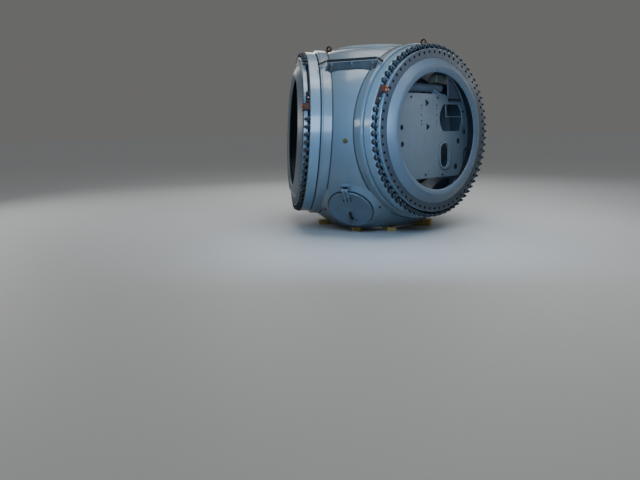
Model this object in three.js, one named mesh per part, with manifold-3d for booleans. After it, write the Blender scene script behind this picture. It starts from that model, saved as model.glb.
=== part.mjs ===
// Rotor hub of a wind turbine, set down nose up on timber blocks, with its three pitch bearings.
// Millimetres, +Z up along the rotor axis, z = 0 on the floor under the blocks.
import * as THREE from "three";
import { mergeVertices } from "three/addons/utils/BufferGeometryUtils.js";
import Module from "manifold-3d";

const wasm = await Module();
wasm.setup();

// Where the hub stands
const BLOCK_HEIGHT = 60;
const HUB_CENTRE_Z = 1477;
const AXIS_Y = 155.1;
const GAP = 0.3;
const OVERSHOOT = 50;

// Directions round the rotor axis, in degrees from the front, and the cone of the blade axes
const BLADES = { right: 60, left: -60, back: 180 };
const WEBS = { front: 0, rear_right: 120, rear_left: -120 };
const CONE = 3.06;

// Casting, measured from the crossing of the blade axes
const BODY_R = 1625;
const CAVITY_R = 1530;
const BASE_Z = BLOCK_HEIGHT + GAP - HUB_CENTRE_Z;
const BASE_FLANGE = { r: 814, top: -1401, bore: 600 };
const CAVITY = { bottom: -1290, top: 1240 };
const SHOULDER = [[1000, 1262], [900, 1304], [800, 1325]];
const SHOULDER_START = 1200;
const NOSE = { bore: 520, seat: 1325, flangeR: 720, flangeTop: 1385 };
const COLLAR = { r: 1310, start: 940, face: 1106, bore: 1125, boreStart: 600 };

// Pitch bearing, along the blade axis
const OUTER_RING = { inner: 1206, outer: 1283, face: 1265, lip: 1130 };
const NUTS = { count: 72, r: 1250, half: 23, top: 1349 };
const INNER_RING = { inner: 1066, outer: 1199, back: 1118, face: 1351 };
const DISH = { rim: 1065.6, crest: 945, mouth: 858, thickness: 18 };
const DISH_HEIGHTS = { rim: 1351, crest: 1418, mouth: 1397 };

// Pitch plate, bolted behind the inner ring: right and up in its own plane
const PLATE = { r: 1112, thickness: 25, top: 590, bottom: -700 };
const PLATE_STEP = { x: 560, y: 470, cornerX: 425, cornerPull: 556 };
const PLATE_NOTCH = { outer: [1082, -255], inner: [1010, -255], waist: [955, -290], knee: [925, -540],
  kneePull: 860, foot: 680 };
const PLATE_DOOR = { x: 638, y: 215, r: 285, flatTop: 446, flatBottom: 8 };
const PLATE_SLOT = { x: 455, bottom: -550, top: -170, width: 210, rim: 32, rimHeight: 22 };
const PLATE_HOLES = [[-515, 85, 32], [-510, -160, 32], [965, 10, 34], [810, -140, 36], [745, -550, 36]];
const PLATE_HEARTS = [[55, 450, 44], [70, 90, 48]];
const OVAL = 1.1;
const BEAM = { r: 68, half: 750, up: 705, out: 900 };
const BEAM_ARM = { at: 430, width: 40, foot: 420, footDepth: 60, head: 45 };
const BEAM_BOX = { x: 450, width: 195, height: 135, depth: 150 };

// Locking bracket on the outer ring's face, at an angle from the right-hand side
const LOCKS = { right: 155, left: 22, back: 155 };
const NUTS_OFF = { right: [147, 163], left: [13, 53], back: [147, 163] };
const LOCK = { inner: 1207, outer: 1262, length: 290, plate: 16 };
const LOCK_BLOCK = { inset: 10, length: 105, margin: 12, height: 106, finger: 1178, fingerDepth: 14 };

// Hatch in each web: its axis leans down, and its centre lies below the axis through the crossing
const HATCH_LEAN = -35.7;
const HATCH_DROP = -114;
const BOSS = { faceR: 378, face: 1645, footR: 500, foot: 1575, inside: 1300 };
const HATCH = { hole: 290, sealInner: 300, sealOuter: 357, seal: 10, coverR: 345, cover: 22, edge: 9 };
const HINGE = { up: 404, out: 1694, pinR: 10, eyeR: 21, armHalf: 38, ear: 12, earGap: 2, play: 0.8 };
const HINGE_ARM = { foot: 150, slope: 20, rise: 12, bend: 46, bite: 4 };
const HINGE_EAR = { half: 24, rise: 20 };
const HINGE_PAD = { half: 66, from: 362, to: 452, plate: 10, edge: 8, root: 300 };
const HANDLE = { x: -10, low: -150, high: -60, width: 16, height: 26 };

// Seal rail over a pocket at the top of each web
const POCKET = { half: 388, back: 1180, low: 965, high: 1092 };
const PAD = { half: 430, back: 1085, low: 930, high: 1135 };
const RAIL = { half: 386, back: 1204, front: 1240, low: 1088, thickness: 9 };
const RAIL_BRACKETS = { at: [-315, 0, 315], half: 6, drop: 62, inset: 4 };
const STRIP = { half: 390, height: 38 };
const STRIP_END = { x: 492, z: 1052, out: 1330, depth: 26, height: 30, overlap: 6 };

// Lifting eyes on the shoulder, and the timber blocks, by degrees from the front
const EYES = { eye_left: -87.5, eye_right: 87.5 };
const EYE = { r: 803, width: 92, thickness: 40, pad: 1326, padEdge: 14, top: 1515, hole: 24 };
const BLOCKS = [
  { angle: -150, outer: 930 }, { angle: -105, outer: 950 }, { angle: -63, outer: 975 },
  { angle: -2, outer: 915 }, { angle: 35, outer: 900 }, { angle: 89, outer: 1010, step: 880 },
  { angle: 138, outer: 930 },
];
const BLOCK = { inner: 640, width: 140, stepHeight: 100 };

// Facets
const SPHERE = { segments: 40, steps: 12 };
const HOLLOW = { segments: 24, steps: 7 };
const BODY_SEGMENTS = 48;
const HATCH_SEGMENTS = 28;
const RING_SEGMENTS = 72;
const BEAM_SEGMENTS = 20;
const PIN_SEGMENTS = 16;
const HOLE_SEGMENTS = 5;

const rad = THREE.MathUtils.degToRad;

// Colours, roughness and metalness
const FINISHES = {
  casting_paint: [0x93a3ab, 0.38, 0.1],
  bearing_paint: [0x9aa9b1, 0.35, 0.1],
  bearing_steel: [0x4c5961, 0.5, 0.6],
  cover_paint: [0xa9bcc9, 0.35, 0.1],
  plate_paint: [0x8b949a, 0.45, 0.1],
  nose_paint: [0xb4c6d2, 0.4, 0.1],
  rubber: [0x15171a, 0.8, 0],
  dark_steel: [0x3b4146, 0.5, 0.5],
  box_paint: [0xb3a894, 0.55, 0],
  rusty_steel: [0x5c3526, 0.8, 0.4],
  timber: [0xd09a2e, 0.75, 0],
};

// A frame that looks out of the hub: x to the right, y up, z outwards, leaning up by tilt
function outwardFrame(azimuth, tilt) {
  const [a, t] = [rad(azimuth), rad(tilt)];
  const right = new THREE.Vector3(Math.cos(a), Math.sin(a), 0);
  const out = new THREE.Vector3(Math.sin(a) * Math.cos(t), -Math.cos(a) * Math.cos(t), Math.sin(t));
  const up = new THREE.Vector3().crossVectors(out, right);
  return new THREE.Matrix4().makeBasis(right, up, out);
}

const bladeFrame = (blade) => outwardFrame(BLADES[blade], CONE);
const webFrame = (web) => outwardFrame(WEBS[web], 0);
const hatchFrame = (web) =>
  outwardFrame(WEBS[web], HATCH_LEAN).multiply(new THREE.Matrix4().makeTranslation(0, HATCH_DROP, 0));

// A closed mesh as a solid, turned inside out first where its faces point inwards
function solid(geometry, matrix = null) {
  const shape = geometry.clone();
  shape.deleteAttribute("normal");
  shape.deleteAttribute("uv");
  if (matrix) shape.applyMatrix4(matrix);
  const merged = mergeVertices(shape, 1e-3);
  const points = new Float32Array(merged.attributes.position.array);
  const faces = new Uint32Array(merged.index.array);
  const corner = (i) => new THREE.Vector3().fromArray(points, 3 * faces[i]);
  let volume = 0;
  for (let i = 0; i < faces.length; i += 3) {
    volume += corner(i).dot(corner(i + 1).cross(corner(i + 2)));
  }
  for (let i = 0; volume < 0 && i < faces.length; i += 3) {
    [faces[i + 1], faces[i + 2]] = [faces[i + 2], faces[i + 1]];
  }
  const kept = [];
  for (let i = 0; i < faces.length; i += 3) {
    const [a, b, c] = [faces[i], faces[i + 1], faces[i + 2]];
    if (a !== b && b !== c && c !== a) kept.push(a, b, c);
  }
  return new wasm.Manifold(
    new wasm.Mesh({ numProp: 3, vertProperties: points, triVerts: new Uint32Array(kept) }));
}

function geometryOf(body) {
  const mesh = body.getMesh();
  const geometry = new THREE.BufferGeometry();
  geometry.setAttribute("position", new THREE.BufferAttribute(new Float32Array(mesh.vertProperties), 3));
  geometry.setIndex(new THREE.BufferAttribute(new Uint32Array(mesh.triVerts), 1));
  geometry.computeVertexNormals();
  return geometry;
}

const join = (bodies) => bodies.reduce((sum, body) => sum.add(body));
const moved = (x, y, z) => new THREE.Matrix4().makeTranslation(x, y, z);

// A solid turned about +Z from [radius, height] points
function turned(profile, segments, matrix = null) {
  const points = [...profile, profile[0]].map(([r, z]) => new THREE.Vector2(r, z));
  const geometry = new THREE.LatheGeometry(points, segments);
  geometry.rotateX(Math.PI / 2);
  return solid(geometry, matrix);
}

const disc = (r, low, high, segments, matrix = null) =>
  turned([[0, low], [r, low], [r, high], [0, high]], segments, matrix);
const ring = (inner, outer, low, high, segments, matrix = null) =>
  turned([[inner, low], [outer, low], [outer, high], [inner, high]], segments, matrix);

// A box from its low and high corners
function block(low, high, matrix = null) {
  const size = low.map((value, i) => high[i] - value);
  const geometry = new THREE.BoxGeometry(...size);
  geometry.translate(...low.map((value, i) => value + size[i] / 2));
  return solid(geometry, matrix);
}

// A flat outline pushed up along z
function pushed(outline, low, high, matrix = null, curveSegments = HOLE_SEGMENTS) {
  const geometry = new THREE.ExtrudeGeometry(outline,
    { depth: high - low, bevelEnabled: false, curveSegments });
  geometry.translate(0, 0, low);
  return solid(geometry, matrix);
}

// Points of a sphere's profile between two heights, evenly spaced in angle
function sphereArc(r, low, high, steps) {
  const [from, to] = [Math.asin(low / r), Math.asin(high / r)];
  return Array.from({ length: steps + 1 }, (_, i) => {
    const angle = from + ((to - from) * i) / steps;
    return [r * Math.cos(angle), r * Math.sin(angle)];
  });
}

// Casting: a sphere with three collars, three hatch bosses, the shaft flange and the nose seat
function casting() {
  const outside = turned([
    [0, BASE_Z], [BASE_FLANGE.r, BASE_Z], [BASE_FLANGE.r, BASE_FLANGE.top],
    ...sphereArc(BODY_R, BASE_FLANGE.top, SHOULDER_START, SPHERE.steps),
    ...SHOULDER, [0, NOSE.seat],
  ], SPHERE.segments);
  const boss = [[0, BOSS.inside], [BOSS.footR, BOSS.inside], [BOSS.footR, BOSS.foot],
    [BOSS.faceR, BOSS.face], [0, BOSS.face]];
  const collars = Object.keys(BLADES).map((blade) =>
    disc(COLLAR.r, COLLAR.start, COLLAR.face + OVERSHOOT, BODY_SEGMENTS, bladeFrame(blade)));
  const hingeSide = HINGE_PAD.half + HINGE_PAD.edge;
  const bosses = Object.keys(WEBS).flatMap((web) => [
    turned(boss, HATCH_SEGMENTS, hatchFrame(web)),
    block([-hingeSide, HINGE_PAD.root, BOSS.inside], [hingeSide, HINGE_PAD.to + HINGE_PAD.edge, BOSS.face],
      hatchFrame(web)),
  ]);
  const eyePads = Object.values(EYES).map((angle) => {
    const [across, deep] = [EYE.thickness / 2 + EYE.padEdge, EYE.width / 2 + EYE.padEdge];
    return block([-across, BODY_R / 2, EYE.r - deep], [across, EYE.pad, EYE.r + deep],
      outwardFrame(angle, 0));
  });
  const whole = join([outside, ...collars, ...bosses, ...eyePads]);
  const cavity = turned([[0, CAVITY.bottom],
    ...sphereArc(CAVITY_R, CAVITY.bottom, CAVITY.top, HOLLOW.steps), [0, CAVITY.top]], HOLLOW.segments);
  const pads = Object.keys(WEBS).map((web) =>
    block([-PAD.half, PAD.low, PAD.back], [PAD.half, PAD.high, POCKET.back + OVERSHOOT], webFrame(web)));
  const walls = whole.subtract(cavity).add(join(pads).intersect(whole));
  const cuts = [
    disc(2 * BODY_R, BASE_Z - BODY_R, BASE_Z, HOLE_SEGMENTS),
    disc(BASE_FLANGE.bore, BASE_Z - OVERSHOOT, CAVITY.bottom + OVERSHOOT, BODY_SEGMENTS),
    disc(NOSE.bore, CAVITY.top - OVERSHOOT, NOSE.seat + OVERSHOOT, BODY_SEGMENTS),
    ...Object.keys(BLADES).flatMap((blade) => [
      disc(COLLAR.bore, COLLAR.boreStart, BODY_R + OVERSHOOT, BODY_SEGMENTS, bladeFrame(blade)),
      block([-BODY_R, -BODY_R, COLLAR.face], [BODY_R, BODY_R, 2 * BODY_R], bladeFrame(blade)),
    ]),
    ...Object.keys(WEBS).flatMap((web) => [
      disc(HATCH.hole, BOSS.inside, BOSS.face + OVERSHOOT, HATCH_SEGMENTS, hatchFrame(web)),
      block([-POCKET.half, POCKET.low, POCKET.back], [POCKET.half, POCKET.high, BODY_R], webFrame(web)),
    ]),
  ];
  return walls.subtract(join(cuts));
}

const noseFlange = () => ring(NOSE.bore, NOSE.flangeR, NOSE.seat + GAP, NOSE.flangeTop, BODY_SEGMENTS);

// Fixed ring of a pitch bearing, on the collar's face: the lip that the turning ring runs on, and the
// circle of studs, which leaves room for the locking bracket
function outerRing(blade) {
  const { lip, inner, outer, face } = OUTER_RING;
  const race = INNER_RING.back - GAP;
  const body = turned([[lip, COLLAR.face + GAP], [outer, COLLAR.face + GAP], [outer, face], [inner, face],
    [inner, race], [lip, race]], RING_SEGMENTS);
  const [from, to] = NUTS_OFF[blade];
  const studs = Array.from({ length: NUTS.count }, (_, i) => (i * 360) / NUTS.count)
    .filter((angle) => angle < from || angle > to)
    .map((angle) => block([NUTS.r - NUTS.half, -NUTS.half, face - GAP],
      [NUTS.r + NUTS.half, NUTS.half, NUTS.top], new THREE.Matrix4().makeRotationZ(rad(angle))));
  return join([body, ...studs]);
}

const innerRing = () =>
  ring(INNER_RING.inner, INNER_RING.outer, INNER_RING.back, INNER_RING.face, RING_SEGMENTS);

// Dished plate that closes the ring down to the blade's manhole
function dishedPlate() {
  const { rim, crest, mouth, thickness } = DISH;
  const { rim: rimZ, crest: crestZ, mouth: mouthZ } = DISH_HEIGHTS;
  return turned([
    [rim, rimZ - thickness], [rim, rimZ], [crest, crestZ],
    [mouth, mouthZ], [mouth, mouthZ - thickness], [crest, crestZ - thickness],
  ], RING_SEGMENTS);
}

// A round or oval hole as a path, for an outline
function roundPath(x, y, rx, ry = rx) {
  return new THREE.Path().absellipse(x, y, rx, ry, 0, 2 * Math.PI, false, 0);
}

// The slot's outline, widened by an offset
function slotShape(offset, kind = THREE.Shape) {
  const { x, bottom, top, width } = PLATE_SLOT;
  const r = width / 2;
  const shape = new kind();
  shape.absarc(x, top - r, r + offset, 0, Math.PI, false);
  shape.absarc(x, bottom + r, r + offset, Math.PI, 2 * Math.PI, false);
  shape.closePath();
  return shape;
}

// Doorway in the pitch plate: a circle cut off flat above and below
function doorPath() {
  const { x, y, r, flatTop, flatBottom } = PLATE_DOOR;
  const [high, low] = [Math.asin((flatTop - y) / r), Math.asin((flatBottom - y) / r)];
  const path = new THREE.Path();
  path.absarc(x, y, r, low, high, false);
  path.absarc(x, y, r, Math.PI - high, Math.PI - low, false);
  path.closePath();
  return path;
}

// Pitch plate: a disc cut off above and below, with its top right corner and lower right edge cut away
function pitchPlate() {
  const { r, thickness, top, bottom } = PLATE;
  const face = INNER_RING.back - GAP;
  const outline = new THREE.Shape();
  const { outer, inner, waist, knee, kneePull, foot } = PLATE_NOTCH;
  const { x: stepX, y: stepY, cornerX, cornerPull } = PLATE_STEP;
  outline.moveTo(-Math.sqrt(r * r - bottom * bottom), bottom);
  outline.lineTo(foot, bottom);
  outline.quadraticCurveTo(kneePull, bottom, ...knee);
  outline.lineTo(...waist);
  outline.lineTo(...inner);
  outline.absarc(0, 0, r, Math.atan2(outer[1], outer[0]), Math.asin(stepY / r), false);
  outline.lineTo(stepX, stepY);
  outline.quadraticCurveTo(cornerPull, top, cornerX, top);
  outline.absarc(0, 0, r, Math.PI - Math.asin(top / r), Math.PI - Math.asin(bottom / r), false);
  outline.holes.push(doorPath(), slotShape(0, THREE.Path),
    ...PLATE_HOLES.map(([x, y, hole]) => roundPath(x, y, hole, hole * OVAL)),
    ...PLATE_HEARTS.map(([x, y, hole]) => roundPath(x, y, hole)));
  const rim = slotShape(PLATE_SLOT.rim);
  rim.holes.push(slotShape(0, THREE.Path));
  const lip = pushed(rim, face - thickness / 2, face + PLATE_SLOT.rimHeight);
  return pushed(outline, face - thickness, face).add(lip);
}

// Beam behind the pitch plate, on two arms from the plate's back
function plateBeam() {
  const back = INNER_RING.back - GAP - PLATE.thickness;
  const lie = new THREE.Matrix4().makeRotationY(Math.PI / 2).premultiply(moved(0, BEAM.up, BEAM.out));
  const tube = disc(BEAM.r, -BEAM.half, BEAM.half, BEAM_SEGMENTS, lie);
  const { at, width, foot, footDepth, head } = BEAM_ARM;
  const shape = new THREE.Shape([[back - GAP, foot], [back - GAP, PLATE.top], [BEAM.out, BEAM.up + head],
    [BEAM.out - head, BEAM.up], [BEAM.out, BEAM.up - head], [back - footDepth, foot],
  ].map(([z, y]) => new THREE.Vector2(-z, y)));
  const stand = new THREE.Matrix4().makeRotationY(Math.PI / 2);
  const arm = (x) => pushed(shape, x - width / 2, x + width / 2, stand);
  return join([tube, arm(-at), arm(at)]);
}

function beamBox() {
  const { x, width, height, depth } = BEAM_BOX;
  const low = BEAM.up + BEAM.r + GAP;
  return block([x, low, BEAM.out - depth / 2], [x + width, low + height, BEAM.out + depth / 2]);
}

// Locking bracket: a foot plate with a raised block, whose finger reaches over the inner ring
function lockBracket(blade) {
  const foot = OUTER_RING.face + GAP;
  const { inner, outer, length, plate } = LOCK;
  const { inset, margin, height, finger, fingerDepth } = LOCK_BLOCK;
  const start = margin - length / 2;
  const [end, top] = [start + LOCK_BLOCK.length, foot + height];
  const turn = new THREE.Matrix4().makeRotationZ(rad(LOCKS[blade]));
  return join([
    block([inner, -length / 2, foot], [outer, length / 2, foot + plate], turn),
    block([inner, start, foot], [outer - inset, end, top], turn),
    block([finger, start, top - fingerDepth], [outer - inset, end, top], turn),
  ]);
}

// Hatch cover with its hinge arm and handle
function hatchCover() {
  const low = BOSS.face + HATCH.seal + 2 * GAP;
  const top = low + HATCH.cover;
  const { coverR, edge } = HATCH;
  const plate = turned([[0, low], [coverR, low], [coverR, top - edge], [coverR - edge, top], [0, top]],
    HATCH_SEGMENTS);
  const { foot, slope, rise, bend, bite } = HINGE_ARM;
  const arm = new THREE.Shape();
  arm.moveTo(top - bite, foot);
  arm.lineTo(top + rise, foot + slope);
  arm.lineTo(HINGE.out + rise, HINGE.up - bend);
  arm.absarc(HINGE.out, HINGE.up, HINGE.eyeR, 0, Math.PI, false);
  arm.lineTo(top - bite, HINGE.up - bend - slope);
  arm.closePath();
  arm.holes.push(roundPath(HINGE.out, HINGE.up, HINGE.pinR + HINGE.play));
  const across = new THREE.Matrix4().makeBasis(
    new THREE.Vector3(0, 0, 1), new THREE.Vector3(0, 1, 0), new THREE.Vector3(-1, 0, 0));
  const handle = block([HANDLE.x, HANDLE.low, top - bite],
    [HANDLE.x + HANDLE.width, HANDLE.high, top + HANDLE.height]);
  return join([plate, pushed(arm, -HINGE.armHalf, HINGE.armHalf, across), handle]);
}

const hatchSeal = () => ring(HATCH.sealInner, HATCH.sealOuter, BOSS.face + GAP,
  BOSS.face + HATCH.seal + GAP, HATCH_SEGMENTS);

// Fixed hinge: a foot on the boss, two ears and the pin
function hatchHinge() {
  const foot = BOSS.face + GAP;
  const inner = HINGE.armHalf + HINGE.earGap;
  const across = new THREE.Matrix4().makeRotationY(Math.PI / 2);
  const plate = block([-HINGE_PAD.half, HINGE_PAD.from, foot],
    [HINGE_PAD.half, HINGE_PAD.to, foot + HINGE_PAD.plate]);
  const ear = (x) => block([x, HINGE.up - HINGE_EAR.half, foot],
    [x + HINGE.ear, HINGE.up + HINGE_EAR.half, HINGE.out + HINGE_EAR.rise]);
  const pinHalf = inner + HINGE.ear - 1;
  const pin = disc(HINGE.pinR, -pinHalf, pinHalf, PIN_SEGMENTS,
    across.premultiply(moved(0, HINGE.up, HINGE.out)));
  return join([plate, ear(-inner - HINGE.ear), ear(inner), pin]);
}

// Frame of a strip's sloping end, x along it: it starts at the rail's end and follows the collar outwards
function stripEndFrame(side) {
  const start = new THREE.Vector3(side * STRIP.half, RAIL.low + RAIL.thickness + STRIP.height / 2,
    (RAIL.back + RAIL.front) / 2);
  const end = new THREE.Vector3(side * STRIP_END.x, STRIP_END.z, STRIP_END.out);
  const along = end.clone().sub(start).multiplyScalar(side);
  const length = along.length();
  along.normalize();
  const out = new THREE.Vector3(0, 0, 1).addScaledVector(along, -along.z).normalize();
  const up = new THREE.Vector3().crossVectors(out, along);
  const middle = start.add(end).multiplyScalar(0.5);
  return { length, matrix: new THREE.Matrix4().makeBasis(along, up, out).setPosition(middle) };
}

// Sloping plate under a strip's end, grown by a gap where something is cut clear of it
function railEnd(side, growth = 0) {
  const { length, matrix } = stripEndFrame(side);
  const [along, deep] = [length / 2 + STRIP_END.overlap + growth, STRIP_END.depth / 2 + growth];
  const top = -STRIP_END.height / 2 - GAP + growth;
  return block([-along, top - RAIL.thickness - growth, -deep], [along, top, deep], matrix);
}

// Steel rail on brackets in the pocket, with a sloping plate at each end
function sealRail() {
  const bar = block([-RAIL.half, RAIL.low, RAIL.back], [RAIL.half, RAIL.low + RAIL.thickness, RAIL.front]);
  const { at, half, drop, inset } = RAIL_BRACKETS;
  const brackets = at.map((x) => block([x - half, RAIL.low - drop, POCKET.back + GAP],
    [x + half, POCKET.high - GAP, RAIL.front - inset]));
  return join([bar, ...brackets, railEnd(-1), railEnd(1)]);
}

// Rubber strip on the rail
function sealStrip() {
  const low = RAIL.low + RAIL.thickness + GAP;
  const main = block([-STRIP.half, low, RAIL.back], [STRIP.half, low + STRIP.height, RAIL.front]);
  const ends = [-1, 1].map((side) => {
    const { length, matrix } = stripEndFrame(side);
    const [along, deep] = [length / 2 + STRIP_END.overlap, STRIP_END.depth / 2];
    return block([-along, -STRIP_END.height / 2, -deep], [along, STRIP_END.height / 2, deep], matrix);
  });
  return join([main, ...ends]).subtract(join([railEnd(-1, GAP), railEnd(1, GAP)]));
}

// Lifting eye: a thick plate with a round top and a hole, on its pad
function liftingEye() {
  const { width, thickness, pad, top, hole } = EYE;
  const half = width / 2;
  const foot = pad + GAP;
  const shape = new THREE.Shape();
  shape.moveTo(-half, foot);
  shape.lineTo(half, foot);
  shape.absarc(0, top - half, half, 0, Math.PI, false);
  shape.closePath();
  shape.holes.push(roundPath(0, top - half, hole));
  return pushed(shape, -thickness / 2, thickness / 2, null);
}

// Timber block, with a second plank on the one that has a step
function timberBlock({ outer, step }) {
  const half = BLOCK.width / 2;
  const plank = block([-half, BLOCK.inner, 0], [half, outer, BLOCK_HEIGHT]);
  return step ? plank.add(block([-half, step, 0], [half, outer, BLOCK.stepHeight])) : plank;
}

// The assembly
const hub = new THREE.Group();
hub.name = "rotor_hub";
const body = new THREE.Group();
body.position.set(0, AXIS_Y, HUB_CENTRE_Z);
hub.add(body);

// Adds a named piece to a group
function piece(name, shape, finish, parent) {
  const [color, roughness, metalness] = FINISHES[finish];
  const material = new THREE.MeshStandardMaterial({ color, roughness, metalness });
  const mesh = new THREE.Mesh(geometryOf(shape), material);
  mesh.name = name;
  parent.add(mesh);
}

// A group turned into a frame of the hub
function turnedGroup(matrix) {
  const group = new THREE.Group();
  group.applyMatrix4(matrix);
  body.add(group);
  return group;
}

piece("hub_casting", casting(), "casting_paint", body);
piece("nose_flange", noseFlange(), "nose_paint", body);

for (const blade of Object.keys(BLADES)) {
  const flange = turnedGroup(bladeFrame(blade));
  piece(`outer_ring_${blade}`, outerRing(blade), "bearing_paint", flange);
  piece(`inner_ring_${blade}`, innerRing(), "bearing_steel", flange);
  piece(`dished_plate_${blade}`, dishedPlate(), "cover_paint", flange);
  piece(`pitch_plate_${blade}`, pitchPlate(), "plate_paint", flange);
  piece(`plate_beam_${blade}`, plateBeam(), "dark_steel", flange);
  piece(`beam_box_${blade}`, beamBox(), "box_paint", flange);
  piece(`lock_bracket_${blade}`, lockBracket(blade), "rusty_steel", flange);
}

for (const web of Object.keys(WEBS)) {
  const hatch = turnedGroup(hatchFrame(web));
  piece(`hatch_cover_${web}`, hatchCover(), "cover_paint", hatch);
  piece(`hatch_seal_${web}`, hatchSeal(), "rubber", hatch);
  piece(`hatch_hinge_${web}`, hatchHinge(), "cover_paint", hatch);
  const top = turnedGroup(webFrame(web));
  piece(`seal_rail_${web}`, sealRail(), "nose_paint", top);
  piece(`seal_strip_${web}`, sealStrip(), "rubber", top);
}

for (const [name, angle] of Object.entries(EYES)) {
  const side = turnedGroup(outwardFrame(angle, 0).multiply(moved(0, 0, EYE.r))
    .multiply(new THREE.Matrix4().makeRotationY(Math.PI / 2)));
  piece(`lifting_${name}`, liftingEye(), "rusty_steel", side);
}

BLOCKS.forEach((stand, i) => {
  const foot = new THREE.Group();
  foot.position.set(0, AXIS_Y, 0);
  foot.rotation.z = rad(stand.angle + 180);
  hub.add(foot);
  piece(`timber_block_${i + 1}`, timberBlock(stand), "timber", foot);
});

export default hub;
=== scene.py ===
"""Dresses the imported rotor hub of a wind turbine, which stands nose up on timber blocks.

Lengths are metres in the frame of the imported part. Each class is one sub-assembly: it holds its sizes,
works its meshes out as numpy arrays and gives them their finishes.
"""

import logging
from dataclasses import dataclass, field, replace
from enum import Enum
from functools import cache

import bmesh
import bpy
import numpy as np
from mathutils import Matrix, Vector


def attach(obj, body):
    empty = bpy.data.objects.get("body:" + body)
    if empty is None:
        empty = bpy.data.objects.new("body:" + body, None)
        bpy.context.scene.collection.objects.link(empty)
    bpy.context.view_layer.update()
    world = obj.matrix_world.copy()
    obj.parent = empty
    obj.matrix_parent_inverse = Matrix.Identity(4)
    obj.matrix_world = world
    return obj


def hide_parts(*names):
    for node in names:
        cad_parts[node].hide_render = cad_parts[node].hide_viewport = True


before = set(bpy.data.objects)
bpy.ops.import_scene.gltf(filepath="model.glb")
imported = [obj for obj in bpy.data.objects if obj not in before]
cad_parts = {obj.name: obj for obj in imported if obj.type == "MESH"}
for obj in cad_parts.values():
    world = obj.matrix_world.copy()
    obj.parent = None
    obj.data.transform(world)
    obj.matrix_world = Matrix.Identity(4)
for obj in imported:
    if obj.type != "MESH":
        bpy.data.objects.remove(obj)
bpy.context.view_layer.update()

LOG = logging.getLogger("rotor_hub")

Array = np.ndarray
# Points that a function turns into an array itself
Points = np.ndarray | list
Pair = tuple[float, float]
Triple = tuple[float, float, float]
Socket = bpy.types.NodeSocket
UP = np.array([0.0, 0.0, 1.0])
HUB_CENTRE = np.array([0.0, 0.1551, 1.477])
# Degrees that the blade axes and the hatches lean up, and how far a hatch sits below the radial line
CONE, HATCH_TILT, HATCH_DROP = 3.06, -35.7, 0.114
# Gap between pieces that rest on each other
SEAT = 0.0003
# Nearer than this, two points of an outline are one
SAME_POINT = 1e-7


class Place(Enum):
    """A place on the hub, which ends the names of what is built there."""


class Blade(Place):
    """The three blade flanges: azimuth, lock bracket's angle and the rim angles without studs."""

    right = (60.0, 155.0, 147.0, 163.0)
    left = (-60.0, 22.0, 13.0, 53.0)
    back = (180.0, 155.0, 147.0, 163.0)

    @property
    def body(self) -> str:
        """Body that turns with this blade."""
        return f"pitch_{self.name}"

    @property
    def axes(self) -> "Axes":
        """Frame of the flange, with z along the blade's axis."""
        return outward(self.value[0], CONE)


class Web(Place):
    """The three webs between the blade flanges, by azimuth."""

    front = 0.0
    rear_right = 120.0
    rear_left = -120.0

    @property
    def cover_body(self) -> str:
        """Body that this web's hatch cover moves with."""
        return "front_hatch" if self is Web.front else "hub"

    @property
    def axes(self) -> "Axes":
        """Frame of the web, with z straight out."""
        return outward(self.value, 0.0)

    @property
    def hatch_axes(self) -> "Axes":
        """Frame of the hatch, which leans down and sits a little below the radial line."""
        return outward(self.value, HATCH_TILT).shifted(0.0, -HATCH_DROP, 0.0)


class Shoulder(Place):
    """The two places of the lifting eyes, by azimuth."""

    left = -87.5
    right = 87.5


@dataclass(frozen=True)
class Axes:
    """A turned and shifted frame: x to the right, y up and z outwards."""

    matrix: Array

    def place(self, points: Array) -> Array:
        """Local points in the part's frame, M p."""
        return points @ self.matrix[:3, :3].T + self.matrix[:3, 3]

    def shifted(self, x: float, y: float, z: float) -> "Axes":
        """This frame moved along its own axes."""
        return framed(self.matrix[:3, :3], self.place(np.array([x, y, z])))

    def spun(self, degrees: float) -> "Axes":
        """This frame turned about its own z."""
        return Axes(self.matrix @ spin(np.array([degrees]))[0])


def framed(turn: Array, at: Array | Triple) -> Axes:
    """A frame from its axes and its origin.

    Args:
        turn: 3 x 3, with the frame's axes as columns.
        at: its origin.

    Returns:
        The frame.
    """
    matrix = np.eye(4)
    matrix[:3, :3], matrix[:3, 3] = turn, at
    return Axes(matrix)


def outward(azimuth: float, tilt: float) -> Axes:
    """A frame at the hub's centre that looks outwards.

    With azimuth a from -Y towards +X and tilt t upwards, z = (sin a cos t, -cos a cos t, sin t),
    x = (cos a, sin a, 0) and y = z cross x.

    Args:
        azimuth: degrees round the rotor axis from the front.
        tilt: degrees that z leans up.

    Returns:
        The frame.
    """
    a, t = np.radians([azimuth, tilt])
    x = np.array([np.cos(a), np.sin(a), 0.0])
    z = np.array([np.sin(a) * np.cos(t), -np.cos(a) * np.cos(t), np.sin(t)])
    return framed(np.stack([x, np.cross(z, x), z], axis=1), HUB_CENTRE)


UPRIGHT = Axes(np.array(Matrix.Translation(HUB_CENTRE.tolist())))


def spin(degrees: Array) -> Array:
    """Turns about z.

    Args:
        degrees: K angles.

    Returns:
        (K, 4, 4) matrices.
    """
    a = np.radians(degrees)
    turns = np.tile(np.eye(4), (len(a), 1, 1))
    turns[:, 0, 0], turns[:, 1, 1] = np.cos(a), np.cos(a)
    turns[:, 0, 1], turns[:, 1, 0] = -np.sin(a), np.sin(a)
    return turns


def evenly(count: int) -> Array:
    """Turns about z by equal steps, as a (count, 4, 4) array."""
    return spin(np.arange(count) * 360 / count)


def unit(vectors: Array) -> Array:
    """Vectors brought to length 1, v / |v|."""
    return vectors / np.linalg.norm(vectors, axis=-1, keepdims=True)


def travelled(path: Array) -> Array:
    """Length along a path up to each of its points."""
    return np.concatenate([[0.0], np.cumsum(np.linalg.norm(np.diff(path, axis=0), axis=1))])


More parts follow.
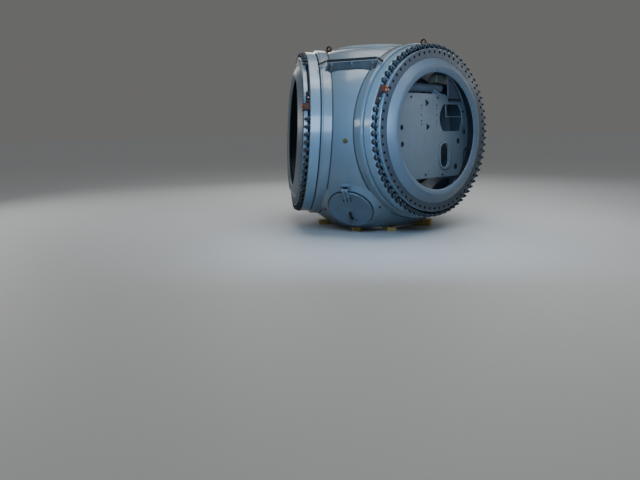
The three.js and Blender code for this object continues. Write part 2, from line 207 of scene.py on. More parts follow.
@dataclass
class Surface:
    """Points with their own UV, faces in arrays of equal corner count, and a finish number for each."""

    points: Array
    faces: list[Array]
    uv: Array
    finishes: list[int] = field(default_factory=list)

    def __post_init__(self) -> None:
        """Gives every face array finish 0 where none is named."""
        self.finishes = self.finishes or [0] * len(self.faces)

    def finished(self, number: int) -> "Surface":
        """The same surface with one finish."""
        return replace(self, finishes=[number] * len(self.faces))

    def banded(self, numbers: list[int]) -> "Surface":
        """A turned surface with one finish number for each row of its profile."""
        return replace(self, faces=np.split(self.faces[0], len(numbers)), finishes=numbers)

    def placed(self, axes: Axes) -> "Surface":
        """The same surface in another frame."""
        return replace(self, points=axes.place(self.points))

    def moved(self, x: float, y: float, z: float) -> "Surface":
        """The same surface shifted."""
        return replace(self, points=self.points + np.array([x, y, z]))

    def turned(self, degrees: float, axis: str) -> "Surface":
        """The same surface turned about one of its own axes."""
        return replace(self, points=self.points @ np.array(Matrix.Rotation(np.radians(degrees), 3, axis)).T)

    def swapped(self, order: str) -> "Surface":
        """The same surface with its axes in another order: "zxy" puts old z into x, x into y, y into z."""
        return replace(self, points=self.points[:, ["xyz".index(axis) for axis in order]])

    def scattered(self, turns: Array) -> "Surface":
        """Copies of the surface, p_k = T_k p for each 4 x 4 matrix T_k.

        Args:
            turns: (K, 4, 4) matrices.

        Returns:
            All copies as one surface.
        """
        points = np.einsum("kij,nj->kni", turns[:, :3, :3], self.points) + turns[:, None, :3, 3]
        steps = np.arange(len(turns))[:, None, None] * len(self.points)
        faces = [(f[None] + steps).reshape(-1, f.shape[1]) for f in self.faces]
        return Surface(points.reshape(-1, 3), faces, np.tile(self.uv, (len(turns), 1)), self.finishes)


def gathered(surfaces: list[Surface]) -> Surface:
    """Several surfaces as one.

    Args:
        surfaces: the surfaces.

    Returns:
        One surface that keeps their finish numbers.
    """
    starts = np.cumsum([0] + [len(s.points) for s in surfaces])
    faces = [f + start for s, start in zip(surfaces, starts) for f in s.faces]
    return Surface(np.concatenate([s.points for s in surfaces]), faces,
                   np.concatenate([s.uv for s in surfaces]), [n for s in surfaces for n in s.finishes])


def grid(points: Array, uv: Array, close_rows: bool = False) -> Surface:
    """A surface of two parameters, P(i, j), with one quad between four neighbours, closed round each row.

    Args:
        points: (rows, columns, 3) points.
        uv: (rows, columns, 2) coordinates in metres.
        close_rows: whether the last row joins the first.

    Returns:
        The surface.
    """
    rows, columns = points.shape[:2]
    i, j = np.arange(rows if close_rows else rows - 1)[:, None], np.arange(columns)[None]
    low, high, right = i * columns, (i + 1) % rows * columns, (j + 1) % columns
    quads = np.stack([low + j, low + right, high + right, high + j], axis=-1)
    return Surface(points.reshape(-1, 3), [quads.reshape(-1, 4)], uv.reshape(-1, 2))


def capped(tube: Surface, count: int) -> Surface:
    """A tube closed by one face at each end.

    Args:
        tube: a surface whose rows are closed rings.
        count: points in a row.

    Returns:
        The closed surface.
    """
    row = np.arange(count)[None]
    return Surface(tube.points, tube.faces + [row[:, ::-1], row + len(tube.points) - count], tube.uv)


def lathe(profile: Points, segments: int, closed: bool = True) -> Surface:
    """A profile of (radius, height) turned about z, P(i, j) = (r_i cos a_j, r_i sin a_j, z_i).

    Args:
        profile: (n, 2) points.
        segments: steps round the turn.
        closed: whether the profile's last point joins its first.

    Returns:
        The surface, with u round it and v along the profile.
    """
    profile = np.asarray(profile, float)
    angles = np.arange(segments) * 2 * np.pi / segments
    r, z = profile[:, :1], profile[:, 1:]
    points = np.stack(np.broadcast_arrays(r * np.cos(angles), r * np.sin(angles), z), -1)
    return grid(points, np.stack(np.broadcast_arrays(angles, travelled(profile)[:, None]), -1), closed)


def drum(radius: float, low: float, high: float, segments: int, edge: float = 0.0) -> Surface:
    """A closed drum about z, with its upper edge chamfered."""
    top = [[radius, high - edge], [radius - edge, high]] if edge else [[radius, high]]
    return lathe([[0, low], [radius, low], *top, [0, high]], segments, closed=False)


def rounded(corners: Points, radius: float, steps: int = 3) -> Array:
    """A closed outline with its corners rounded.

    Each corner P with tangent points A and C becomes (1-t)^2 A + 2t(1-t) P + t^2 C.

    Args:
        corners: (n, 2) corners.
        radius: distance from a corner to its tangent points.
        steps: pieces in each rounded corner.

    Returns:
        The outline's points.
    """
    corners = np.asarray(corners, float)
    a, c = (corners + unit(np.roll(corners, way, 0) - corners) * radius for way in (1, -1))
    t = np.linspace(0, 1, steps + 1)[None, :, None]
    curve = (1 - t) ** 2 * a[:, None] + 2 * t * (1 - t) * corners[:, None] + t**2 * c[:, None]
    points = curve.reshape(-1, 2)
    return points[np.linalg.norm(points - np.roll(points, 1, 0), axis=1) > SAME_POINT]


def box_outline(low: Pair, high: Pair, radius: float, steps: int = 3) -> Array:
    """A rectangle's rounded outline."""
    return rounded([low, (high[0], low[1]), high, (low[0], high[1])], radius, steps)


def prism(outline: Points, low: float, high: float, edge: float = 0.0) -> Surface:
    """An outline in x and y pushed from z = low to z = high, with small sloping edges.

    Args:
        outline: (n, 2) points.
        low: lower height.
        high: upper height.
        edge: width of the chamfer at both ends, drawn towards the outline's own middle.

    Returns:
        The closed surface.
    """
    outline = np.asarray(outline, float)
    middle = outline.mean(0)
    inset = middle + (outline - middle) * (1 - edge / np.abs(outline - middle).max(0))
    layers = [(inset, low), (outline, low + edge), (outline, high - edge), (inset, high)]
    layers = layers if edge else layers[1:3]
    points = np.stack([np.column_stack([xy, np.full(len(xy), z)]) for xy, z in layers])
    return capped(grid(points, points[..., :2]), len(outline))


def brick(low: Triple, high: Triple, edge: float) -> Surface:
    """A box with rounded upright edges and chamfered ends."""
    return prism(box_outline(low[:2], high[:2], edge, 2), low[2], high[2], edge * 0.7)


def swept(section: Array, path: Points, up: Array = UP, close_path: bool = False) -> Surface:
    """A closed section carried along a path, P(i, j) = p_i + s_j n_i + t_j b_i.

    b_i is the part of up that is square to the path at p_i, and n_i = b_i cross tangent_i.

    Args:
        section: (m, 2) points (s, t).
        path: (n, 3) points.
        up: direction that b follows.
        close_path: whether the path's end joins its start.

    Returns:
        The closed surface.
    """
    path = np.asarray(path, float)
    tangent = unit(np.roll(path, -1, 0) - np.roll(path, 1, 0) if close_path else np.gradient(path, axis=0))
    b = unit(up - (tangent @ up)[:, None] * tangent)
    n = np.cross(b, tangent)
    points = path[:, None] + section[None, :, :1] * n[:, None] + section[None, :, 1:] * b[:, None]
    uv = np.stack(np.broadcast_arrays(travelled(path)[:, None], travelled(section)), -1)
    tube = grid(points, uv, close_path)
    return tube if close_path else capped(tube, len(section))


def circle(radius: float, count: int, x: float = 0.0, y: float = 0.0, stretch: float = 1.0) -> Array:
    """Points (x + r cos a, y + k r sin a) of a circle or oval."""
    a = np.arange(count) * 2 * np.pi / count
    return np.column_stack([x + radius * np.cos(a), y + stretch * radius * np.sin(a)])


def arc(centre: Pair, radius: float, start: float, end: float, count: int) -> Array:
    """Points of an arc between two angles in degrees."""
    a = np.radians(np.linspace(start, end, count))
    return np.column_stack([centre[0] + radius * np.cos(a), centre[1] + radius * np.sin(a)])


def bezier(a: Pair | Array, b: Pair | Array, c: Pair | Array, count: int) -> Array:
    """Points (1-t)^2 a + 2t(1-t) b + t^2 c."""
    t = np.linspace(0, 1, count)[:, None]
    return (1 - t) ** 2 * np.asarray(a) + 2 * t * (1 - t) * np.asarray(b) + t**2 * np.asarray(c)


def fill(items: bpy.types.bpy_prop_collection, key: str, values: Array) -> None:
    """Writes a whole array into a mesh's items, as single floats or whole numbers."""
    items.foreach_set(key, values.astype(np.float32 if values.dtype.kind == "f" else np.int32).ravel())


def joined(mesh: bpy.types.Mesh, poles: bool) -> bpy.types.Mesh:
    """Closes a mesh at its seams and turns its faces outwards.

    Args:
        mesh: the mesh, which is changed.
        poles: whether faces that have shrunk to nothing go, as at a lathe's poles.

    Returns:
        The same mesh.
    """
    work = bmesh.new()
    work.from_mesh(mesh)
    bmesh.ops.remove_doubles(work, verts=work.verts, dist=1e-5)
    if poles:
        bmesh.ops.dissolve_degenerate(work, edges=work.edges, dist=1e-6)
    bmesh.ops.recalc_face_normals(work, faces=work.faces)
    work.to_mesh(mesh)
    work.free()
    return mesh


def mesh_of(surface: Surface, name: str) -> bpy.types.Mesh:
    """A Blender mesh of a surface, closed, with its UV in metres.

    Args:
        surface: the surface.
        name: name of the mesh.

    Returns:
        The mesh.
    """
    mesh = bpy.data.meshes.new(name)
    sizes = np.concatenate([np.full(len(f), f.shape[1]) for f in surface.faces])
    corners = np.concatenate([f.ravel() for f in surface.faces])
    numbers = np.concatenate([np.full(len(f), n) for f, n in zip(surface.faces, surface.finishes)])
    mesh.vertices.add(len(surface.points))
    mesh.loops.add(len(corners))
    mesh.polygons.add(len(sizes))
    fill(mesh.vertices, "co", surface.points)
    fill(mesh.loops, "vertex_index", corners)
    fill(mesh.polygons, "loop_start", np.cumsum(sizes) - sizes)
    fill(mesh.polygons, "loop_total", sizes)
    fill(mesh.polygons, "material_index", numbers)
    fill(mesh.uv_layers.new(name="metres").data, "uv", surface.uv[corners])
    mesh.update(calc_edges=True)
    return joined(mesh, True)


def shown(name: str, data: bpy.types.ID) -> bpy.types.Object:
    """A new object in the scene.

    Args:
        name: name of the object.
        data: its mesh, curve, light or camera.

    Returns:
        The object.
    """
    made = bpy.data.objects.new(name, data)
    bpy.context.scene.collection.objects.link(made)
    return made


def settled(made: bpy.types.Object) -> bpy.types.Mesh:
    """The mesh that an object's modifiers or curve give. The object goes.

    Args:
        made: the object.

    Returns:
        The mesh.
    """
    mesh = bpy.data.meshes.new_from_object(made.evaluated_get(bpy.context.evaluated_depsgraph_get()))
    bpy.data.objects.remove(made)
    return mesh


class Step(Enum):
    """How a solid changes the one before it."""

    JOIN = "UNION"
    CUT = "DIFFERENCE"


def combined(name: str, base: Surface, steps: list[tuple[Step, Surface]]) -> bpy.types.Mesh:
    """A solid that others are joined to and cut from, in order.

    Args:
        name: name of the mesh.
        base: first solid, a closed surface.
        steps: what is done next, and with which closed surface.

    Returns:
        The mesh.
    """
    body = shown(name, mesh_of(base, name))
    others = []
    for step, solid in steps:
        others.append(shown(f"{name}_tool", mesh_of(solid, f"{name}_tool")))
        change = body.modifiers.new("step", "BOOLEAN")
        change.operation, change.solver, change.object = step.value, "MANIFOLD", others[-1]
    mesh = settled(body)
    # This also sets the finish number of every face to 0
    mesh.materials.clear()
    for other in others:
        bpy.data.objects.remove(other)
    return mesh


def filled(name: str, outline: Array, holes: list[Array], low: float, high: float, edge: float,
           axes: Axes) -> bpy.types.Mesh:
    """A flat plate with holes, filled between its outlines, with its UV in the plate's own metres.

    Args:
        name: name of the mesh.
        outline: (n, 2) outer outline.
        holes: outlines of the holes.
        low: height of its back.
        high: height of its front.
        edge: width of its rounded edges.
        axes: frame that the plate lies in.

    Returns:
        The mesh.
    """
    curve = bpy.data.curves.new(name, "CURVE")
    curve.dimensions, curve.fill_mode, curve.offset = "2D", "BOTH", -edge
    curve.extrude, curve.bevel_depth, curve.bevel_resolution = (high - low) / 2 - edge, edge, 1
    for path in (outline, *holes):
        spline = curve.splines.new("POLY")
        spline.points.add(len(path) - 1)
        fill(spline.points, "co", np.column_stack([path, np.zeros(len(path)), np.ones(len(path))]))
        spline.use_cyclic_u = True
    mesh = settled(shown(name, curve))
    local, corners = np.zeros(len(mesh.vertices) * 3, np.float32), np.zeros(len(mesh.loops), np.int32)
    mesh.vertices.foreach_get("co", local)
    mesh.loops.foreach_get("vertex_index", corners)
    local = local.reshape(-1, 3) + np.array([0, 0, (low + high) / 2])
    layer = mesh.uv_layers.get("metres") or mesh.uv_layers.new(name="metres")
    fill(layer.data, "uv", local[corners, :2])
    fill(mesh.vertices, "co", axes.place(local))
    return joined(mesh, False)


def linear(hex_colour: str) -> tuple[float, ...]:
    """An sRGB hex colour as linear numbers: c/12.92 below 0.04045, else ((c+0.055)/1.055)^2.4.

    Args:
        hex_colour: the colour, as #rrggbb.

    Returns:
        Red, green, blue and alpha.
    """
    c = np.array([int(hex_colour[i:i + 2], 16) for i in (1, 3, 5)]) / 255
    value = np.where(c <= 0.04045, c / 12.92, ((c + 0.055) / 1.055) ** 2.4)
    return (*value.tolist(), 1.0)


class Shading:
    """A new material, and one method for each kind of node that the finishes share."""

    def __init__(self, name: str) -> None:
        """Starts an empty material.

        Args:
            name: its name.
        """
        self.material = bpy.data.materials.new(name)
        self.material.use_nodes = True
        self.material.node_tree.nodes.clear()
        found = self.node("ShaderNodeTexCoord", {})
        self.metres, self.mapped = found["Object"], found["UV"]

    def node(self, kind: str, inputs: dict[str | int, object],
             **settings: object) -> bpy.types.bpy_prop_collection:
        """Adds a node with its settings and links.

        Args:
            kind: type of node.
            inputs: socket name or number to a value, or to the socket that feeds it.
            settings: the node's own settings.

        Returns:
            The node's outputs.
        """
        made = self.material.node_tree.nodes.new(kind)
        for name, value in settings.items():
            setattr(made, name, value)
        for name, value in inputs.items():
            if isinstance(value, Socket):
                self.material.node_tree.links.new(value, made.inputs[name])
            else:
                made.inputs[name].default_value = value
        return made.outputs

    def stretched(self, where: Socket, scale: Triple) -> Socket:
        """Coordinates scaled along each axis."""
        return self.node("ShaderNodeMapping", {"Vector": where, "Scale": scale})[0]

    def noise(self, where: Socket, scale: float, detail: float, roughness: float = 0.5,
              distortion: float = 0.0) -> Socket:
        """Noise with about that many patches to a metre."""
        return self.node("ShaderNodeTexNoise", {"Vector": where, "Scale": scale, "Detail": detail,
                                                "Roughness": roughness, "Distortion": distortion})[0]

    def ranged(self, value: Socket, low: float, high: float, start: float = 0.0, end: float = 1.0) -> Socket:
        """A value carried from low..high to start..end."""
        return self.node("ShaderNodeMapRange", {"Value": value, "From Min": low, "From Max": high,
                                                "To Min": start, "To Max": end})[0]

    def mixed(self, share: Socket, first: Socket | str, second: str) -> Socket:
        """A colour and a second one over it, by a share."""
        first = linear(first) if isinstance(first, str) else first
        return self.node("ShaderNodeMix", {0: share, 6: first, 7: linear(second)}, data_type="RGBA")[2]

    def bump(self, height: Socket, distance: float, strength: float, under: Socket | None = None) -> Socket:
        """Bump of a height in metres, on top of another one where it is given."""
        inputs = {"Height": height, "Distance": distance, "Strength": strength}
        return self.node("ShaderNodeBump", inputs if under is None else {**inputs, "Normal": under})[0]

    def ended(self, inputs: dict[str, object]) -> bpy.types.Material:
        """The material, ended in one shader with these inputs."""
        self.node("ShaderNodeOutputMaterial", {"Surface": self.node("ShaderNodeBsdfPrincipled", inputs)[0]})
        return self.material


@dataclass(frozen=True)
class Finish:
    """A painted, rusty, rubber or steel surface: colours that noise mixes, and bump at real sizes.

    Lengths are millimetres: blotch is the size of the colour patches, grain that of the bump, and swell
    that of the casting's or plate's slow unevenness.
    """

    name: str
    colour: str
    second: str
    roughness: float
    metallic: float = 0.0
    blotch: float = 400.0
    contrast: float = 0.8
    grain: float = 2.0
    grain_depth: float = 0.1
    swell: float = 0.0
    swell_depth: float = 0.0
    streak: float = 0.0
    coat: float = 0.0
    coat_roughness: float = 0.14
    dirt: str | None = None
    dirt_share: float = 0.0

    @cache
    def made(self) -> bpy.types.Material:
        """Builds the material once.

        Returns:
            The material, which reads Object coordinates in metres.
        """
        tree = Shading(self.name)
        spots, reach, share = 1000 / self.blotch, 0.3 * self.contrast, 0.3 * self.dirt_share
        drawn = tree.stretched(tree.metres, (1.0, 1.0, 1.0 - self.streak))
        patch = tree.noise(drawn, spots, detail=6.0, roughness=0.62)
        colour = tree.mixed(tree.ranged(patch, 0.5 - reach, 0.55 + reach), self.colour, self.second)
        if self.dirt:
            specks = tree.noise(drawn, 5 * spots, detail=9.0, roughness=0.7)
            colour = tree.mixed(tree.ranged(specks, 0.74 - share, 0.86 - share), colour, self.dirt)
        fine = tree.noise(tree.metres, 1000 / self.grain, detail=3.0)
        bump = tree.bump(fine, self.grain / 1000, self.grain_depth)
        if self.swell:
            slow = tree.noise(tree.metres, 1000 / self.swell, detail=2.0)
            bump = tree.bump(slow, self.swell_depth / 1000, 1.0, bump)
        rough = tree.ranged(patch, 0.3, 0.7, self.roughness - 0.06, self.roughness + 0.08)
        return tree.ended({"Base Color": colour, "Roughness": rough, "Metallic": self.metallic,
                           "Normal": bump, "Coat Weight": self.coat, "Coat Roughness": self.coat_roughness})


@dataclass(frozen=True)
class TurnedSteel:
    """Machined and oiled bearing steel: dark grey, with fine turning rings and rubbed patches.

    The rings follow v of the piece's UV map, which runs across the turned face. They are about 3 mm wide,
    coarser than real turning marks, so that they show.
    """

    name: str = "turned_bearing_steel"
    colour: str = "#2f3b47"
    second: str = "#3e4851"
    roughness: float = 0.5
    metallic: float = 0.15
    ring_width: float = 3.0

    @cache
    def made(self) -> bpy.types.Material:
        """Builds the material once.

        Returns:
            The material.
        """
        tree = Shading(self.name)
        patch = tree.noise(tree.metres, 5.0, detail=7.0, roughness=0.65)
        colour = tree.mixed(tree.ranged(patch, 0.35, 0.68), self.colour, self.second)
        across = tree.stretched(tree.mapped, (0.4, 1000 / self.ring_width, 1.0))
        bump = tree.bump(tree.noise(across, 1.0, detail=2.0), distance=0.001, strength=0.25)
        rough = tree.ranged(patch, 0.3, 0.7, self.roughness - 0.08, self.roughness + 0.12)
        return tree.ended({"Base Color": colour, "Roughness": rough, "Metallic": self.metallic,
                           "Normal": bump})


@dataclass(frozen=True)
class StainedPine:
    """Pine planks stained yellow: growth rings drawn out along u of the piece's UV map, and soil on them."""

    name: str = "yellow_stained_pine"
    light: str = "#cdb672"
    dark: str = "#87703c"
    soil: str = "#4a3b22"
    roughness: float = 0.72

    @cache
    def made(self) -> bpy.types.Material:
        """Builds the material once.

        Returns:
            The material.
        """
        tree = Shading(self.name)
        drawn = tree.stretched(tree.mapped, (3.0, 60.0, 1.0))
        grain = tree.noise(drawn, 1.0, detail=6.0, roughness=0.7, distortion=0.6)
        wood = tree.mixed(tree.ranged(grain, 0.38, 0.66), self.light, self.dark)
        cover = tree.ranged(tree.noise(tree.metres, 9.0, detail=6.0), 0.52, 0.75, end=0.7)
        return tree.ended({"Base Color": tree.mixed(cover, wood, self.soil), "Roughness": self.roughness,
                           "Normal": tree.bump(grain, distance=0.002, strength=0.5)})


class Look(Enum):
    """The object's finishes, named for their real materials, and a few that paint light or shade."""

    # Two-part epoxy sprayed over sand-cast iron: satin, a little uneven, with faint runs and dust
    casting = Finish("epoxy_paint_on_cast_iron", "#5d717f", "#516674", 0.42, blotch=600, contrast=0.7,
                     grain=7, grain_depth=0.05, swell=180, swell_depth=1.4, streak=0.72, coat=0.5,
                     dirt="#56676f", dirt_share=0.12)
    # The same epoxy on turned steel: smoother and a little lighter
    bearing = Finish("epoxy_paint_on_turned_steel", "#668396", "#5b778a", 0.36, blotch=500, contrast=0.6,
                     grain=4, grain_depth=0.03, streak=0.6, coat=0.6, dirt="#4f5d66", dirt_share=0.1)
    # Enamel on spun plate: soft sheen, nearly even
    cover = Finish("enamel_on_spun_plate", "#516373", "#495a69", 0.46, blotch=450, contrast=0.6, grain=3,
                   grain_depth=0.04, swell=260, swell_depth=0.7, coat=0.25, coat_roughness=0.3,
                   dirt="#6a7a86", dirt_share=0.12)
    # The same enamel, dulled by hands and dust
    hatch = Finish("dulled_enamel_on_hatch", "#5a6d7d", "#4e6071", 0.5, blotch=260, contrast=0.7, grain=3,
                   grain_depth=0.05, swell=200, swell_depth=0.6, coat=0.15, dirt="#4e5f6c", dirt_share=0.2)
    # Grey primer on rolled plate: flatter than the epoxy
    plate = Finish("primer_on_rolled_plate", "#67757f", "#5c6a74", 0.46, blotch=350, contrast=0.7, grain=2.5,
                   grain_depth=0.06, coat=0.2, dirt="#5f666c", dirt_share=0.14)
    # Pale epoxy on the machined nose flange
    nose = Finish("pale_epoxy_on_nose_flange", "#8d989d", "#7e8b91", 0.4, blotch=300, contrast=0.5, grain=4,
                  grain_depth=0.05, coat=0.3)
    # Painted shade in the seal's pocket under the rail: dark, flat, dusty
    primer = Finish("dark_primer_in_pocket", "#4a5256", "#3c4448", 0.8, blotch=90, grain=3, grain_depth=0.15)
    # Painted shade at the collars' feet: a dark line along the crease where each collar meets the sphere
    sealant = Finish("painted_sealing_compound", "#1d2a34", "#26343f", 0.6, blotch=80)
    # Vulcanised rubber: black, nearly no shine, dusty
    rubber = Finish("vulcanised_rubber", "#090b0d", "#12161a", 0.82, blotch=60, grain=1.5, grain_depth=0.15)
    # Blued steel of bolts and pins: dark with a dull shine
    blued = Finish("blued_steel", "#232a31", "#343d46", 0.42, metallic=0.7, blotch=40, grain=1.5,
                   grain_depth=0.15)
    # Black-phosphated nuts, matt: their sides darker as painted shade, and their ends greyer as painted light
    nut = Finish("phosphated_nuts", "#1f272e", "#171d22", 0.6, metallic=0.2, blotch=60, contrast=0.9)
    nut_end = Finish("rubbed_nut_ends", "#46545f", "#303b44", 0.55, metallic=0.2, blotch=40, contrast=0.9)
    # Hot-rolled steel left to rust: brown, rough and patchy
    rust = Finish("rusted_hot_rolled_steel", "#4a2a1f", "#2a1b18", 0.86, metallic=0.1, blotch=35,
                  contrast=0.9, grain=2.5, grain_depth=0.6, dirt="#8a4f35", dirt_share=0.35)
    # Fresh orange rust on bolt heads
    orange = Finish("fresh_rust_on_bolt_heads", "#b0744a", "#8a4a2c", 0.8, blotch=14, contrast=0.9,
                    grain_depth=0.4)
    # Painted shade on the ring's inner wall: nearly black, with a dull wet shine
    greased = Finish("greased_ring_bore", "#0d1117", "#1a2028", 0.5, blotch=50, grain_depth=0.2)
    # Painted structural steel of the beams and rails: plain grey
    frame_steel = Finish("painted_structural_steel", "#7d8790", "#68727b", 0.5, blotch=120, grain=3,
                         grain_depth=0.12)
    # Zinc-coated sheet of the panel beside the plate: grey with a faint purple cast
    panel = Finish("zinc_coated_sheet", "#6b6c78", "#5a5c68", 0.55, metallic=0.2, blotch=150,
                   grain_depth=0.08)
    # Powder-coated sheet of the terminal box: olive grey
    sheet = Finish("powder_coated_sheet", "#6f7468", "#5d6258", 0.5, blotch=90, contrast=0.6, grain=1.2)
    # Passivated zinc of the drain plug: dull yellow
    zinc = Finish("yellow_passivated_zinc", "#6b6334", "#3c371f", 0.5, metallic=0.6, blotch=12, contrast=0.9,
                  grain=1.2, grain_depth=0.2)
    # Bright zinc on the box's edge and the lock's pin
    bright = Finish("bright_zinc", "#b7bec4", "#8f979e", 0.4, metallic=0.6, blotch=12, grain=3)
    # Injection-moulded plastic of the capped sensor: even and satin
    red_cap = Finish("red_moulded_plastic", "#a0301f", "#74200f", 0.45, blotch=15, contrast=0.6, grain=3)
    white_cap = Finish("white_moulded_plastic", "#c9c2bd", "#b0a9a4", 0.45, blotch=15, contrast=0.6, grain=3)
    steel = TurnedSteel()
    timber = StainedPine()


@dataclass
class Assembly:
    """A sub-assembly, at one of the hub's places or upright on the rotor axis."""

    at: Place | None = None

    @property
    def axes(self) -> Axes:
        """Frame that its surfaces are drawn in."""
        return self.at.axes if self.at else UPRIGHT

    def add(self, name: str, shape: list[Surface] | bpy.types.Mesh, looks: list[Look], node: str = "",
            slot: str = "", body: str = "hub", crease: float = 32.0, axes: Axes | None = None) -> None:
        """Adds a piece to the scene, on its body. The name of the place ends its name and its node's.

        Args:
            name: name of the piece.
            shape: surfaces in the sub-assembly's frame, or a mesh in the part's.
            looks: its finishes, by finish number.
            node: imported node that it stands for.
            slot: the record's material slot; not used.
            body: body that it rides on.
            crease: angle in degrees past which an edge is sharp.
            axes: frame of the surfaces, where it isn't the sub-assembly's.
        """
        place = f"_{self.at.name}" if self.at else ""
        if isinstance(shape, list):
            shape = mesh_of(gathered(shape).placed(axes or self.axes), name + place)
        for look in looks:
            shape.materials.append(look.value.made())
        shape.shade_smooth()
        shape.set_sharp_from_angle(angle=np.radians(crease))
        made = shown(name + place, shape)
        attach(made, body)
        if node:
            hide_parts(node + place)
        LOG.info("%s: %d faces on %s", made.name, len(shape.polygons), body)


@dataclass
class Casting(Assembly):
    """The cast hub: a hollow sphere with collars, hatch bosses, shaft flange, nose seat and web pockets."""

    radius: float = 1.625
    cavity: float = 1.53
    base: float = -1.4167
    base_radius: float = 0.814
    base_top: float = -1.401
    base_bore: float = 0.600
    floor: float = -1.290
    ceiling: float = 1.240
    seat: float = 1.325
    seat_radius: float = 0.78
    shoulder: float = 1.2
    nose_bore: float = 0.520
    collar_radius: float = 1.310
    collar_foot: float = 1.316
    collar_start: float = 0.940
    collar_face: float = 1.106
    collar_bore: float = 1.125
    boss_start: float = 1.30
    boss_face: float = 1.645
    hatch_hole: float = 0.290
    pocket_half: float = 0.388
    pocket_low: float = 0.965
    pocket_high: float = 1.092
    pocket_back: float = 1.180
    pad_edge: float = 0.014
    over: float = 0.05

    def outside(self) -> Surface:
        """The turned outside: shaft flange, sphere (R cos e, R sin e) and a shoulder drawn as a Bezier curve.

        Returns:
            The closed surface.
        """
        low, high = np.degrees(np.arcsin(np.array([self.base_top, self.shoulder]) / self.radius))
        start = np.array([np.sqrt(self.radius**2 - self.shoulder**2), self.shoulder])
        pull = np.array([start[0] - (self.seat - self.shoulder) * self.shoulder / start[0], self.seat])
        foot, base = self.base_radius, self.base
        flange = [[0, base], [foot - 0.004, base], [foot, base + 0.004], [foot, self.base_top]]
        top = bezier(start, pull, (self.seat_radius, self.seat), 12)[1:]
        sphere = arc((0, 0), self.radius, low, high, 90)
        return lathe(np.concatenate([flange, sphere, top, [[0, self.seat]]]), 220, closed=False)

    def collar(self) -> Surface:
        """A collar about a blade's axis, chamfered at its face.

        Returns:
            The closed surface, in the blade's frame.
        """
        r, foot, face = self.collar_radius, self.collar_foot, self.collar_face
        return lathe([[0, self.collar_start], [foot, self.collar_start], [foot, face - 0.03],
                      [r, face - 0.018], [r, face - 0.006], [r - 0.006, face],
                      [r - 0.006, face + self.over], [0, face + self.over]], 192, closed=False)

    def boss(self) -> list[Surface]:
        """A hatch boss with a hollow flank, and the pad under its hinge.

        Returns:
            The two closed surfaces, in the hatch's frame.
        """
        start, face = self.boss_start, self.boss_face
        flank = bezier((0.60, 1.500), (0.43, 1.590), (0.380, face - 0.006), 12)
        profile = np.concatenate([[[0, start], [0.60, start]], flank, [[0.374, face], [0, face]]])
        pad = prism(box_outline((-0.074, 0.30), (0.074, 0.46), 0.012), start, face - 0.0005, 0.004)
        return [lathe(profile, 120, closed=False), pad]

    def hollow(self) -> Surface:
        """The cavity: a sphere cut off flat above and below.

        Returns:
            The closed surface.
        """
        low, high = np.degrees(np.arcsin(np.array([self.floor, self.ceiling]) / self.cavity))
        wall = arc((0, 0), self.cavity, low, high, 60)
        return lathe(np.concatenate([[[0, self.floor]], wall, [[0, self.ceiling]]]), 160, closed=False)

    def build(self) -> None:
        """Joins, cuts and dresses the casting, and lays a dark bead of painted shade round each collar's
        foot.
        """
        solids = [(Step.JOIN, self.collar().placed(blade.axes)) for blade in Blade]
        solids += [(Step.JOIN, solid.placed(web.hatch_axes)) for web in Web for solid in self.boss()]
        across, deep = LiftingEye.thickness / 2 + self.pad_edge, LiftingEye.half + self.pad_edge
        pad = box_outline((-across, -LiftingEye.radius - deep), (across, deep - LiftingEye.radius), 0.01)
        pad = prism(pad, 0.9, LiftingEye.foot - SEAT, 0.003)
        solids += [(Step.JOIN, pad.turned(eye.value, "Z").placed(UPRIGHT)) for eye in Shoulder]
        solids.append((Step.CUT, self.hollow().placed(UPRIGHT)))
        wedge = prism([[0.93, 1.085], [0.93, 1.235], [1.12, 1.095], [1.12, 1.085]], -0.42, 0.42)
        solids += [(Step.JOIN, wedge.swapped("zxy").placed(web.axes)) for web in Web]
        half = self.pocket_half
        pocket = box_outline((-half, self.pocket_low), (half, self.pocket_high), 0.006)
        # Each cut starts in the cavity or in the open and reaches past the wall that it goes through
        cuts = [(drum(self.base_bore, self.base - self.over, self.floor + self.over, 120), [UPRIGHT]),
                (drum(self.nose_bore, self.ceiling - self.over, self.seat + self.over, 120), [UPRIGHT]),
                (drum(self.collar_bore, 0.6, 1.7, 168), [blade.axes for blade in Blade]),
                (drum(1.7, self.collar_face, 2.4, 64), [blade.axes for blade in Blade]),
                (drum(self.hatch_hole, self.boss_start, 1.75, 96), [web.hatch_axes for web in Web]),
                (prism(pocket, self.pocket_back, 1.6), [web.axes for web in Web])]
        solids += [(Step.CUT, solid.placed(axes)) for solid, frames in cuts for axes in frames]
        mesh = combined("hub_body", self.outside().placed(UPRIGHT), solids)
        self.add("hub_body", mesh, [Look.casting], "hub_casting", "casting_paint", crease=26.0)
        # A dark bead paints the shade in the crease at each collar's foot
        foot = np.array([self.collar_foot, np.sqrt(self.radius**2 - self.collar_foot**2)])
        bead = lathe(foot + [[-0.006, -0.020], [0.011, -0.0165], [0.009, -0.010], [0.003, 0.002],
                             [-0.006, 0.006]], 192)
        beads = mesh_of(gathered([bead.placed(blade.axes) for blade in Blade]), "collar_sealing_beads")
        self.add("collar_sealing_beads", beads, [Look.sealant], slot="casting_paint")


